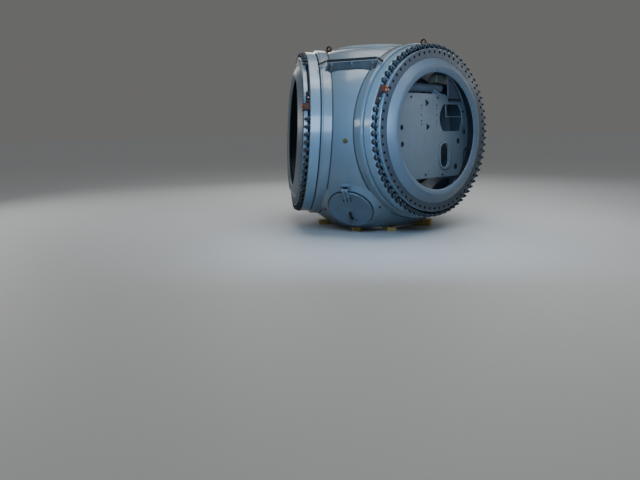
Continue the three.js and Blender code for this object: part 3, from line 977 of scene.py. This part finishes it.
@dataclass
class NoseFlange(Assembly):
    """The pale ring on top, with its bolt holes as dark recesses."""

    inner: float = 0.520
    outer: float = 0.720
    low: float = 1.3253
    high: float = 1.385
    holes: int = 36
    hole_radius: float = 0.015
    hole_depth: float = 0.035
    hole_circle: float = 0.655

    def build(self) -> None:
        """Builds the ring, cut by its holes."""
        ring = lathe(box_outline((self.inner, self.low), (self.outer, self.high), 0.005, 2), 144)
        bit = drum(self.hole_radius, self.high - self.hole_depth, self.high + 0.01, 12)
        bits = bit.moved(self.hole_circle, 0, 0).scattered(evenly(self.holes))
        mesh = combined("nose_ring", ring.placed(UPRIGHT), [(Step.CUT, bits.placed(UPRIGHT))])
        self.add("nose_ring", mesh, [Look.nose], "nose_flange", "nose_paint")


@dataclass
class PitchBearing(Assembly):
    """A blade bearing: fixed ring with studs and nuts, turning ring with bolt holes, and dished plate."""

    collar_face: float = 1.106
    outer: float = 1.283
    waist: float = 1.268
    inner: float = 1.206
    lip: float = 1.130
    race: float = 1.1177
    face: float = 1.265
    studs: int = 72
    stud_circle: float = 1.250
    stud_top: float = 1.347
    washer: float = 0.007
    nut_height: float = 0.040
    nut_width: float = 0.060
    screws: int = 54
    ring_inner: float = 1.066
    ring_outer: float = 1.199
    ring_back: float = 1.118
    ring_face: float = 1.351
    band_low: float = 1.116
    band_high: float = 1.184
    holes: int = 64
    hole_circle: float = 1.150
    hole_radius: float = 0.018
    hole_depth: float = 0.06
    hole_phase: float = 3.59
    cover_thickness: float = 0.016

    def fixed_ring(self) -> None:
        """The fixed ring, with a waist where it meets the collar and a dark strip inside its nuts: the black
        seal in the gap between the rings, whose black also paints the gap's shade.
        """
        low, outer, inner, face = self.collar_face + SEAT, self.outer, self.inner, self.face
        ring = lathe([[self.lip, low], [self.waist, low], [self.waist, low + 0.009],
                      [outer - 0.004, low + 0.012], [outer, low + 0.017], [outer, face - 0.007],
                      [outer - 0.007, face], [inner + 0.014, face], [inner + 0.003, face],
                      [inner, face - 0.003], [inner, self.race], [self.lip, self.race]], 216)
        angles = np.arange(self.studs) * 360 / self.studs
        start, end = self.at.value[2:]
        radius, seat = self.nut_width / np.sqrt(3), self.washer
        # Nuts and studs: their darker sides are painted shade, their lighter ends painted light
        nut = drum(radius, seat, seat + self.nut_height, 6, 0.006).banded([1, 1, 2, 2])
        stud = drum(0.018, 0, self.stud_top - face, 12, 0.004).banded([1, 1, 2, 2])
        # The dark washers paint the shade round each nut's foot
        stack = gathered([nut, drum(0.038, 0, seat, 16).finished(1), stud]).moved(self.stud_circle, 0, face)
        screw = drum(0.006, 0, 0.010, 6).finished(1).turned(90, "Y")
        screw = screw.moved(self.waist - 0.003, 0, low + 0.0045)
        # On the face's inner edge and the inner wall, finish 3 is the black seal in the gap between the rings
        # and also paints the gap's shade
        self.add("fixed_ring", [ring.banded([0, 3, 3, 0, 0, 0, 0, 3, 3, 3, 0, 0]),
                                stack.scattered(spin(angles[(angles < start) | (angles > end)])),
                                screw.scattered(evenly(self.screws))],
                 [Look.bearing, Look.nut, Look.nut_end, Look.rubber], "outer_ring", "bearing_paint")

    def holed_band(self, sides: int) -> Surface:
        """The band of the ring's face that holds the bolt holes.

        Each hole's cell is a grid of two parameters, P(s, t) = (1 - t) C(s) + t B(s), between the circle
        C and the cell's square border B. The cell is then bent round the ring: (r cos a, r sin a).

        Args:
            sides: grid points along each side of a cell.

        Returns:
            The band with the walls and floors of its holes.
        """
        s, one, count = np.arange(sides) / sides * 2 - 1, np.ones(sides), 4 * sides
        corners = ((s, -one), (one, s), (-s, one), (-one, -s))
        border = np.concatenate([np.column_stack(side) for side in corners])
        middle, half = (self.band_low + self.band_high) / 2, (self.band_high - self.band_low) / 2
        edge = [0, middle] + border * [np.pi / self.holes, half]
        a = np.arctan2(border[:, 1], border[:, 0])
        round_it = np.column_stack([np.cos(a) / self.hole_circle, np.sin(a)])
        radii = (self.hole_radius, self.hole_radius + 0.003)
        bore, lip = ([0, self.hole_circle] + round_it * r for r in radii)
        uv = np.stack([edge, (edge + lip) / 2, lip, bore, bore])
        height = self.ring_face - np.array([0, 0, 0, 0.003, self.hole_depth])[:, None]
        angle, radius = uv[..., 0], uv[..., 1]
        points = np.stack(np.broadcast_arrays(radius * np.cos(angle), radius * np.sin(angle), height), -1)
        cell = capped(grid(points, uv), count)
        quads, floor = cell.faces[0], cell.faces[2]
        # The holes' walls and floors take the black rubber finish as painted shade in the holes
        cell = replace(cell, faces=[quads[:2 * count], quads[2 * count:], floor], finishes=[0, 1, 1])
        return cell.scattered(evenly(self.holes))

    def turning_ring(self) -> None:
        """The turning ring: a lathe profile with dark bands round it, and the holed band in its face."""
        inner, outer, face, sides = self.ring_inner, self.ring_outer, self.ring_face, 4
        profile = [[self.band_high, face], [outer - 0.004, face], [outer, face - 0.004],
                   [outer, face - 0.058], [outer - 0.004, face - 0.062], [outer - 0.004, face - 0.072],
                   [outer, face - 0.076], [outer, self.ring_back], [inner, self.ring_back],
                   [inner, face - 0.003], [inner + 0.003, face], [self.band_low, face]]
        # The black rubber band low on the outer wall is the seal in the gap between the rings; its black also
        # paints the gap's shade
        shell = lathe(profile, self.holes * sides, closed=False).banded([0, 2, 2, 1, 1, 1, 1, 0, 3, 0, 0])
        # The inner wall takes a near-black finish that paints the shade in the ring's bore
        self.add("turning_ring", [shell.turned(-180 / self.holes, "Z"), self.holed_band(sides)],
                 [Look.steel, Look.rubber, Look.bearing, Look.greased], "inner_ring", "bearing_steel",
                 self.at.body, axes=self.axes.spun(90 - self.hole_phase))

    def dished_plate(self) -> None:
        """The dished plate: out over a rounded crest and in to the manhole, P = Bezier curves turned."""
        out = np.concatenate([bezier((1.0654, 1.3505), (1.005, 1.3900), (0.962, 1.4110), 8),
                              bezier((0.962, 1.4110), (0.952, 1.4160), (0.949, 1.4165), 4)[1:],
                              [[0.947, 1.4130], [0.942, 1.4130], [0.940, 1.4165]],
                              bezier((0.940, 1.4165), (0.925, 1.4150), (0.872, 1.3975), 8)[1:]])
        mouth = bezier((0.872, 1.3975), (0.858, 1.391), (0.858, 1.378), 5)[1:]
        back = out[::-1] - [0, self.cover_thickness]
        profile = np.concatenate([out, mouth, [[0.862, 1.374]], back, [[1.0654, 1.3345]]])
        screw = drum(0.009, 0, 0.007, 10, 0.002).moved(0.887, 0, 1.4010).finished(1)
        self.add("dished_cover", [lathe(profile, 216), screw.turned(92, "Z")], [Look.cover, Look.blued],
                 "dished_plate", "cover_paint", self.at.body, 40.0)

    def build(self) -> None:
        """Builds the three turned pieces."""
        self.fixed_ring()
        self.turning_ring()
        self.dished_plate()


@dataclass
class PitchPlate(Assembly):
    """The plate behind a turning ring, with its door, slot and holes, and the beam and box on its back."""

    radius: float = 1.112
    front: float = 1.1177
    back: float = 1.0927
    top: float = 0.590
    bottom: float = -0.700
    step: float = 0.470
    notch: float = -0.258
    lean: float = 6.0

    def outline(self) -> Array:
        """Arcs of the ring's circle, closed by the straight edges, the upper step and the lower notch.

        Returns:
            The outline's points.
        """
        r, top, bottom, step = self.radius, self.top, self.bottom, self.step
        heights = np.array([self.notch, step, top, bottom])
        notch_at, step_at, top_at, bottom_at = np.degrees(np.arcsin(heights / r))
        return np.concatenate([
            [[0.680, bottom]], bezier((0.740, bottom), (0.900, bottom), (0.925, -0.540), 7),
            bezier((0.948, -0.320), (0.955, -0.290), (0.975, -0.272), 4), [[1.010, -0.255]],
            arc((0, 0), r, notch_at, step_at, 26), [[0.582, step]],
            bezier((0.572, step), (0.560, step), (0.560, step + 0.012), 3),
            bezier((0.560, step + 0.012), (0.556, top), (0.425, top), 8)[1:],
            arc((0, 0), r, 180 - top_at, 180 - bottom_at, 40)])

    def door(self) -> Array:
        """A circle cut off flat above and below.

        Returns:
            The outline's points.
        """
        at, r = (0.638, 0.215), 0.285
        a, b = np.degrees(np.arcsin([(0.446 - at[1]) / r, (0.008 - at[1]) / r])) + [-3, 3]
        return np.concatenate([arc(at, r, b, a, 18), arc(at, r, 180 - a, 180 - b, 18)])

    def slot(self, offset: float = 0.0, count: int = 14) -> Array:
        """The slot's outline.

        Args:
            offset: how much wider it is drawn.
            count: points in each of its two ends.

        Returns:
            The outline's points.
        """
        x, low, high, r = 0.455, -0.550, -0.170, 0.105
        return np.concatenate([arc((x, high - r), r + offset, 0, 180, count),
                               arc((x, low + r), r + offset, 180, 360, count)])

    def leaves(self) -> list[Array]:
        """Holes with three lobes, r(a) = R (1 + 0.26 cos 3a), on the plate's left.

        Returns:
            Their outlines.
        """
        a = np.linspace(0, 2 * np.pi, 30, endpoint=False)
        leaf = (0.041 * (1 + 0.26 * np.cos(3 * a)))[:, None] * np.column_stack([np.cos(a), np.sin(a)])
        return [leaf + at for at in ([0.055, 0.450], [0.070, 0.090])]

    def build(self) -> None:
        """Builds the plate, its slot rim, seam, bolts and hole linings, and what stands behind it."""
        front, body = self.front, self.at.body
        ovals = [circle(r, 20, x, y, 1.2) for x, y, r in (
            (-0.515, 0.085, 0.032), (-0.510, -0.160, 0.032), (0.965, 0.010, 0.034), (0.810, -0.140, 0.036),
            (0.745, -0.550, 0.036))]
        rows = ((-0.075, (0.41, 0.36, 0.27, 0.18, 0.13)), (0.285, (0.42, 0.37, 0.27, 0.18, 0.14)))
        holes = [self.door(), self.slot(), *self.leaves(), *ovals]
        holes += [circle(0.0125, 10, x, y) for x, heights in rows for y in heights]
        plate = filled("pitch_plate_face", self.outline(), holes, self.back, front, 0.002, self.axes)
        self.add("pitch_plate_face", plate, [Look.plate], "pitch_plate", "plate_paint", body, 15.0)
        path = np.column_stack([self.slot(0.016, 20), np.full(40, front + 0.010)])
        rim = swept(box_outline((-0.015, -0.011), (0.015, 0.011), 0.005, 2), path, close_path=True)
        seam = brick((0.205, -0.690, front), (0.211, 0.10, front + 0.0015), 0.0005)
        bolts = [drum(0.016, 0, 0.013, 6, 0.003).moved(x, y, front).finished(1) for x, y in (
            (-0.86, 0.30), (-0.86, -0.30), (-0.93, 0.0), (0.93, 0.33), (0.30, 0.53), (-0.30, 0.53),
            (-0.60, 0.53), (-0.60, -0.64), (0.0, -0.64), (0.40, -0.66))]
        # Rubber grommets line the oval holes; their black also paints the holes' shade
        lining = box_outline((-0.0012, -0.0125), (0.0012, 0.0125), 0.0004, 1)
        paths = [np.column_stack([oval, np.full(20, front - 0.0123)]) for oval in ovals]
        linings = [swept(lining, path, close_path=True).finished(2) for path in paths]
        self.add("plate_trim", [rim, seam, *bolts, *linings], [Look.plate, Look.blued, Look.rubber],
                 slot="plate_paint", body=body)
        self.beam()
        self.panel()

    def beam(self) -> None:
        """The tube on its two arms, with dark collars at its ends, and the terminal box that leans on it."""
        back, body = self.back, self.at.body
        tube = lathe(box_outline((0.052, -0.62), (0.0675, 0.62), 0.004, 2), 40)
        collar = lathe(box_outline((0.050, 0.615), (0.068, 0.75), 0.004, 2), 40).finished(1)
        along = gathered([tube, collar, collar.turned(180, "Y")]).turned(90, "Y").moved(0, 0.705, 0.900)
        side = rounded([[back, 0.42], [back, 0.59], [0.905, 0.75], [0.86, 0.705], [0.905, 0.66],
                        [back - 0.06, 0.42]], 0.01, 2)
        arms = [prism(side, x - 0.019, x + 0.019, 0.002).swapped("zyx") for x in (-0.43, 0.43)]
        self.add("beam_tube", [along, *arms], [Look.frame_steel, Look.blued], "plate_beam", "dark_steel",
                 body)
        half, tall = 0.086, 0.056
        box = [brick((-half, -tall, 0.830), (half, tall - 0.012, 0.972), 0.006),
               brick((-half - 0.002, tall - 0.011, 0.828), (half + 0.002, tall, 0.974), 0.004),
               brick((-half + 0.012, -tall + 0.010, 0.972), (half - 0.010, tall - 0.022, 0.9748), 0.001),
               brick((-half - 0.002, -tall, 0.962), (-half + 0.010, tall, 0.9745), 0.002).finished(1)]
        leaning = gathered(box).turned(-self.lean, "Z").moved(0.5475, 0.8408, 0)
        self.add("terminal_box", [leaning], [Look.sheet, Look.bright], "beam_box", "box_paint", body)

    def panel(self) -> None:
        """The sheet behind the upper step, its bright angle and dark foot, and the bars behind the door."""
        low, left, limit = 0.455, 0.618, 1.085
        start, end = np.degrees([np.arcsin(low / limit), np.arccos(left / limit)])
        sheet = prism(np.concatenate([[[left, low]], arc((0, 0), limit, start, end, 16)]), 1.052, 1.056)
        angle = brick((left, 0.545, 1.056), (left + 0.032, 0.870, 1.068), 0.002).finished(1)
        foot = brick((left - 0.030, 0.508, 1.056), (0.945, 0.526, 1.066), 0.002).finished(2)
        bars = [brick(*ends, edge).finished(1) for *ends, edge in (
            ((0.535, 0.242, 1.078), (0.930, 0.256, 1.0915), 0.002),
            ((0.535, 0.249, 1.078), (0.549, 0.452, 1.0915), 0.002),
            ((0.545, 0.449, 1.1145), (0.785, 0.461, 1.1195), 0.001))]
        self.add("side_panel", [sheet, angle, foot, *bars], [Look.panel, Look.plate, Look.rubber],
                 slot="plate_paint", body=self.at.body)


@dataclass
class LockBracket(Assembly):
    """The rusty locking bracket on a fixed ring's face: foot, block with a finger, and black latch."""

    face: float = 1.2653
    foot_top: float = 1.2813
    finger_low: float = 1.3573
    block_top: float = 1.3713

    @property
    def axes(self) -> Axes:
        """The blade's frame, spun to the bracket's angle."""
        return self.at.axes.spun(self.at.value[1])

    def build(self) -> None:
        """Builds foot, block, finger, bolts, latch, bosses and pin."""
        foot_top, top = self.foot_top, self.block_top
        foot = brick((1.2075, -0.145, self.face), (1.2615, 0.145, foot_top), 0.004)
        block = brick((1.2075, -0.133, self.face), (1.2515, -0.028, top - 0.002), 0.006)
        finger = brick((1.1785, -0.133, self.finger_low), (1.2515, -0.028, top), 0.004)
        heads = [drum(r, 0, high, 6, 0.003).moved(x, y, top).finished(1) for x, y, r, high in (
            (1.226, -0.112, 0.016, 0.014), (1.226, -0.062, 0.016, 0.014), (1.192, -0.086, 0.013, 0.012))]
        a = np.radians(np.linspace(0, 360, 28, endpoint=False))
        path = np.column_stack([1.232 + 0.017 * np.cos(a), 0.060 + 0.062 * np.sin(a), np.full(28, 1.310)])
        latch = swept(circle(0.010, 8), path, close_path=True).finished(2)
        boss = drum(0.019, foot_top, 1.322, 14, 0.004).finished(2)
        bosses = [boss.moved(1.243, y, 0) for y in (-0.006, 0.122)]
        pin = drum(0.014, foot_top, 1.318, 12, 0.003).moved(1.232, 0.060, 0).finished(3)
        self.add("locking_bracket", [foot, block, finger, *heads, latch, *bosses, pin],
                 [Look.rust, Look.orange, Look.rubber, Look.bright], "lock_bracket", "rusty_steel")


@dataclass
class Hatch(Assembly):
    """A hatch: rubber seal, round cover with hinge arm and handle, and the fixed hinge."""

    seal_low: float = 1.6453
    seal_high: float = 1.6553
    cover_low: float = 1.6556
    cover_top: float = 1.6776
    cover_radius: float = 0.345
    pin_up: float = 0.404
    pin_out: float = 1.694
    handle_x: float = -0.010
    handle_top: float = -0.056
    handle_low: float = -0.190
    handle_out: float = 0.030
    handle_half: float = 0.020

    @property
    def axes(self) -> Axes:
        """Frame of the hatch."""
        return self.at.hatch_axes

    def build(self) -> None:
        """Builds seal, cover and hinge."""
        seal = lathe(box_outline((0.300, self.seal_low), (0.357, self.seal_high), 0.003, 2), 96)
        self.add("cover_seal", [seal], [Look.rubber], "hatch_seal", "rubber")
        r, top = self.cover_radius, self.cover_top
        profile = np.concatenate([[[0, self.cover_low], [r, self.cover_low], [r, top - 0.009]],
                                  bezier((r, top - 0.009), (r, top), (r - 0.009, top), 5)[1:],
                                  [[r - 0.020, top], [r - 0.026, top - 0.003], [0, top - 0.003]]])
        self.add("round_cover", [lathe(profile, 120, closed=False), *self.strap(), *self.handle()],
                 [Look.hatch, Look.rubber, Look.bearing], "hatch_cover", "cover_paint", self.at.cover_body)
        self.hinge()

    def strap(self) -> list[Surface]:
        """The hinge arm: a flat web between two ribs, with dark bolts at its foot.

        Returns:
            Its surfaces.
        """
        out, up, top = self.pin_out, self.pin_up, self.cover_top
        side = np.concatenate([[[top - 0.004, 0.150], [top + 0.004, 0.152], [top + 0.012, 0.170],
                                [out + 0.012, up - 0.046]], arc((out, up), 0.021, 0, 180, 12),
                               [[top - 0.004, up - 0.066]]])
        low = np.maximum(side - [0.008, 0], [top - 0.004, -np.inf])
        ribs = [prism(side, x, x + 0.014, 0.0015).swapped("zyx").finished(2) for x in (-0.038, 0.024)]
        bolts = [drum(0.010, 0, 0.016, 6, 0.002).moved(x, y, top).finished(1) for x, y in (
            (0.006, 0.243), (0.049, 0.245), (0.004, 0.198), (0.046, 0.189), (-0.062, 0.196))]
        return [*ribs, prism(low, -0.025, 0.025, 0.001).swapped("zyx"), *bolts]

    def handle(self) -> list[Surface]:
        """The black handle, a thick bar bowed outwards, with the dark knob beside it.

        Returns:
            Their surfaces.
        """
        t = np.linspace(0, 1, 18)
        drop, base = self.handle_top - self.handle_low, self.cover_top
        bar = np.column_stack([self.handle_x * (1 - 2 * t), self.handle_top - drop * t,
                               base - 0.002 + self.handle_out * np.sin(np.pi * t) ** 0.5])
        knob = drum(0.013, 0, 0.014, 12, 0.003).moved(0.064, -0.222, base - 0.003)
        grip = swept(circle(self.handle_half, 12), bar, np.array([1.0, 0, 0]))
        return [grip.finished(1), knob.finished(1)]

    def hinge(self) -> None:
        """The foot plate with two ears, the dark pin and its screws, and a dark plate that paints a recess's
        shade.
        """
        low = self.seal_low
        top = low + 0.010
        foot = brick((-0.066, 0.362, low), (0.066, 0.452, top), 0.004)
        side = np.concatenate([[[0.380, low], [0.428, low]],
                               arc((self.pin_up, self.pin_out - 0.004), 0.024, 0, 180, 12)])
        ears = [prism(side, x, x + 0.012, 0.001).swapped("zxy") for x in (-0.052, 0.040)]
        pin = lathe(box_outline((0.0005, -0.058), (0.010, 0.058), 0.0004, 1), 20)
        pin = pin.turned(90, "Y").moved(0, self.pin_up, self.pin_out)
        screws = [drum(0.008, 0, 0.006, 6).moved(x, 0.441, top) for x in (-0.045, 0.0, 0.045)]
        # A thin dark plate on the foot paints the shade of a recess
        recess = brick((-0.037, 0.384, top), (0.037, 0.440, top + 0.004), 0.001)
        self.add("cover_hinge", [foot, *ears, gathered([pin, recess, *screws]).finished(1)],
                 [Look.hatch, Look.blued], "hatch_hinge", "cover_paint")


@dataclass
class SealRail(Assembly):
    """The steel rail on brackets over a web's pocket, and the rubber strip on it."""

    half: float = 0.386
    low: float = 1.088
    thickness: float = 0.009
    back: float = 1.204
    front: float = 1.240
    strip_half: float = 0.382
    strip_height: float = 0.038
    wall: float = 1.1835

    def end_frame(self, side: int) -> tuple[float, Axes]:
        """A sloping end's own frame: x along it, y up and z outwards.

        Args:
            side: -1 for the left end, 1 for the right one.

        Returns:
            The end's length and its frame.
        """
        start = np.array([side * 0.390, self.low + self.thickness + self.strip_height / 2,
                          (self.back + self.front) / 2])
        end = np.array([side * 0.492, 1.052, 1.330])
        along = unit((end - start) * side)
        out = unit(UP - along[2] * along)
        turn = np.stack([along, np.cross(out, along), out], 1)
        return float(np.linalg.norm(end - start)), framed(turn, (start + end) / 2)

    def build(self) -> None:
        """Builds rail, gussets, strip and the pocket's dark lining, which paints the shade under the rail."""
        half, low, back, front, wall = self.half, self.low, self.back, self.front, self.wall
        top = low + self.thickness
        gusset = [[1.0895, 1.1805], [1.0895, front - 0.004], [1.0600, front - 0.006], [1.0260, 1.1850],
                  [1.0260, 1.1805]]
        steel = [brick((-half, low, back), (half, top, front), 0.002)]
        steel += [prism(gusset, x - 0.006, x + 0.006, 0.001).swapped("zxy") for x in (-0.315, 0.0, 0.315)]
        top += SEAT
        steel += [brick((x - 0.004, top, back + 0.004), (x + 0.004, top + self.strip_height - 0.004, front),
                        0.001) for x in (-half, half)]
        section = box_outline((top, back), (top + self.strip_height, front), 0.010, 4)
        strips = [prism(section, -self.strip_half, self.strip_half, 0.003).swapped("zxy")]
        end_section = box_outline((-0.015, -0.013), (0.015, 0.013), 0.006, 3)
        for side in (-1, 1):
            length, axes = self.end_frame(side)
            reach = length / 2
            steel.append(brick((-reach - 0.004, -0.0243, -0.013), (reach + 0.006, -0.0153, 0.013),
                               0.002).placed(axes))
            strips.append(prism(end_section, -reach + 0.012, reach, 0.002).swapped("zxy").placed(axes))
        self.add("rail_bar", steel, [Look.frame_steel], "seal_rail", "nose_paint")
        self.add("rubber_strip", strips, [Look.rubber], "seal_strip", "rubber")
        # The dark lining paints the shade in the pocket under the rail
        lining = [brick((-half, 0.9665, 1.1802), (half, 1.0905, wall), 0.0005),
                  brick((-half, 0.9655, wall), (half, 0.9685, 1.296), 0.0005)]
        lining += [brick((x, 0.9685, wall), (x + 0.002, low, 1.204), 0.0005) for x in (-0.3865, 0.3845)]
        self.add("pocket_lining", lining, [Look.primer], slot="rubber")


@dataclass
class LiftingEye(Assembly):
    """A rusty eye on the shoulder."""

    radius: float = 0.803
    foot: float = 1.3263
    top: float = 1.515
    half: float = 0.046
    thickness: float = 0.040
    hole: float = 0.024

    @property
    def axes(self) -> Axes:
        """A frame whose x and y span the plane through the rotor axis that the eye stands in."""
        stand = outward(self.at.value, 0.0).shifted(0, 0, self.radius)
        return Axes(stand.matrix @ np.array(Matrix.Rotation(np.pi / 2, 4, "Y")))

    def build(self) -> None:
        """Builds the eye as a filled plate with its hole."""
        half, centre, deep = self.half, (0.0, self.top - self.half), self.thickness / 2
        outline = np.concatenate([[[-half, self.foot], [half, self.foot]], arc(centre, half, 0, 180, 24)])
        eye = filled("lifting_lug", outline, [circle(self.hole, 24, *centre)], -deep, deep, 0.004, self.axes)
        self.add("lifting_lug", eye, [Look.rust], "lifting_eye", "rusty_steel", crease=15.0)


@dataclass
class TimberBlocks(Assembly):
    """The planks under the shaft flange: each block's angle from the front and its outer end."""

    blocks: tuple[Pair, ...] = ((-150, 0.930), (-105, 0.950), (-63, 0.975), (-2, 0.915), (35, 0.900),
                                (89, 1.010), (138, 0.930))
    stepped: int = 5
    step_start: float = 0.880
    step_top: float = 0.100
    inner: float = 0.640
    half: float = 0.070
    height: float = 0.060

    def build(self) -> None:
        """Builds each block from two planks, with its UV along the grain, and the third plank on one."""
        middle = self.height / 2
        for i, (angle, outer) in enumerate(self.blocks):
            boards = [(self.inner, 0.0, middle - 0.0005, 0.0),
                      (self.inner, middle + 0.0005, self.height, 0.003)]
            if i == self.stepped:
                boards.append((self.step_start, self.height + SEAT, self.step_top, 0.004))
            planks = []
            for start, low, high, side in boards:
                plank = brick((start + side, -self.half, low), (outer - side, self.half - side, high), 0.003)
                uv = plank.points[:, :2] + plank.points[:, 2:] * [0.0, 1.0] + i * 0.7 + low * 20
                planks.append(replace(plank, uv=uv))
            turn = spin(np.array([angle - 90.0]))[0, :3, :3]
            self.add(f"plank_block_{i + 1}", planks, [Look.timber], f"timber_block_{i + 1}", "timber",
                     axes=framed(turn, HUB_CENTRE * [0, 1, 0]))


class Fittings(Assembly):
    """Small things on the front web: the zinc plug, the capped sensor and the dark fitting by the hatch."""

    def build(self) -> None:
        """Builds each fitting square to the sphere's surface."""
        plug = [drum(0.026, 1.60, 1.641, 6, 0.004), drum(0.036, 1.60, 1.630, 32, 0.003)]
        self.add("drain_plug", plug, [Look.zinc], axes=outward(1.4, -1.1))
        stem = swept(circle(0.008, 8), [[0.0, 0.034, 1.622], [-0.012, 0.070, 1.632], [-0.018, 0.105, 1.628]])
        sensor = [drum(0.022, 1.640, 1.666, 20, 0.004), drum(0.042, 1.60, 1.640, 24, 0.006).finished(1),
                  stem.finished(1)]
        self.add("capped_sensor", sensor, [Look.red_cap, Look.white_cap], axes=outward(-22.5, -42.0))
        nipple = [drum(0.032, 1.60, 1.636, 16, 0.004), drum(0.018, 1.630, 1.664, 12, 0.003)]
        self.add("grease_fitting", nipple, [Look.blued], axes=outward(20.0, -38.0))


@dataclass
class Studio:
    """Pale floor, soft lights and the camera at the photograph's viewing angle.

    Each lamp has a name, its azimuth, elevation and distance from the hub's centre, its width and height,
    its watts and its colour.
    """

    floor_colour: str = "#aeb2b4"
    world_colour: str = "#f4f3f1"
    ambient: float = 0.16
    lamps: tuple[tuple[str, Triple, Pair, float, str], ...] = (
        ("key", (20, 12, 3.5), (2.0, 1.0), 78, "#b4d8ff"),
        ("side_key", (60, 45, 7.0), (3.0, 2.0), 73, "#fefffc"),
        ("right", (110, 20, 5.0), (1.6, 1.2), 38, "#fdfeff"),
        ("left", (-77, 11, 9.0), (3.0, 1.0), 140, "#fbf9f7"),
        ("high_strip", (13, 65, 5.5), (4.5, 1.2), 109, "#fdfff8"),
        ("top", (0, 89, 6.0), (4.0, 4.0), 120, "#ffece5"),
        ("rim", (168, 35, 8.5), (5.0, 3.0), 180, "#ffffff"),
        ("back", (-140, 25, 7.0), (4.0, 3.0), 120, "#ffffff"),
    )
    daylight: float = 0.54
    daylight_angle: float = 40.0
    lens: float = 36.0 * 512.8 / 640
    camera_at: Triple = (2.4864, -8.4836, 1.608)
    heading: Triple = (-0.377, 0.926, 0.0)
    pitch_and_roll: Pair = (12.15, 0.79)

    def build(self) -> None:
        """Builds the floor, the world, the lights, with soft daylight straight down, and the camera."""
        mesh = bpy.data.meshes.new("studio_floor")
        mesh.from_pydata([(-90, -60, 0), (90, -60, 0), (90, 120, 0), (-90, 120, 0)], [], [(0, 1, 2, 3)])
        material = bpy.data.materials.new("matte_floor_paint")
        material.use_nodes = True
        shader = material.node_tree.nodes["Principled BSDF"]
        shader.inputs["Base Color"].default_value = linear(self.floor_colour)
        shader.inputs["Roughness"].default_value = 0.6
        mesh.materials.append(material)
        shown("studio_floor", mesh)
        world = bpy.data.worlds.new("soft_studio")
        world.use_nodes = True
        back = world.node_tree.nodes["Background"]
        back.inputs["Color"].default_value = linear(self.world_colour)
        back.inputs["Strength"].default_value = self.ambient
        bpy.context.scene.world = world
        for name, at, size, power, colour in self.lamps:
            data = bpy.data.lights.new(name, "AREA")
            data.shape, data.size, data.size_y, data.energy = "RECTANGLE", *size, power
            data.color = linear(colour)[:3]
            light = shown(name, data)
            direction = Vector(outward(at[0], at[1]).matrix[:3, 2].tolist())
            light.location = Vector(HUB_CENTRE.tolist()) + direction * at[2]
            light.rotation_euler = (-direction).to_track_quat("-Z", "Y").to_euler()
            light.visible_camera = False
        sun = bpy.data.lights.new("even_daylight", "SUN")
        sun.energy, sun.angle = self.daylight, np.radians(self.daylight_angle)
        shown("even_daylight", sun)
        self.camera()

    def camera(self) -> None:
        """The camera: 12.15 degrees down, rolled 0.79 degrees, as fitted to the photograph."""
        data = bpy.data.cameras.new("viewpoint")
        data.sensor_width, data.lens, data.clip_end = 36.0, self.lens, 200
        pitch, roll = np.radians(self.pitch_and_roll)
        ahead = unit(np.array(self.heading)) * np.cos(pitch) - UP * np.sin(pitch)
        right = unit(np.cross(ahead, UP))
        up = np.cross(right, ahead)
        rolled = [right * np.cos(roll) - up * np.sin(roll), right * np.sin(roll) + up * np.cos(roll), -ahead]
        view = shown("viewpoint", data)
        view.matrix_world = Matrix(framed(np.stack(rolled, 1), self.camera_at).matrix.tolist())
        bpy.context.scene.camera = view


def main() -> None:
    """Builds every sub-assembly in order."""
    logging.basicConfig(level=logging.INFO, format="%(message)s")
    Studio().build()
    Casting().build()
    NoseFlange().build()
    for blade in Blade:
        for assembly in (PitchBearing, PitchPlate, LockBracket):
            assembly(blade).build()
    for web in Web:
        for assembly in (Hatch, SealRail):
            assembly(web).build()
    for eye in Shoulder:
        LiftingEye(eye).build()
    TimberBlocks().build()
    Fittings().build()


if __name__ == "__main__":
    main()
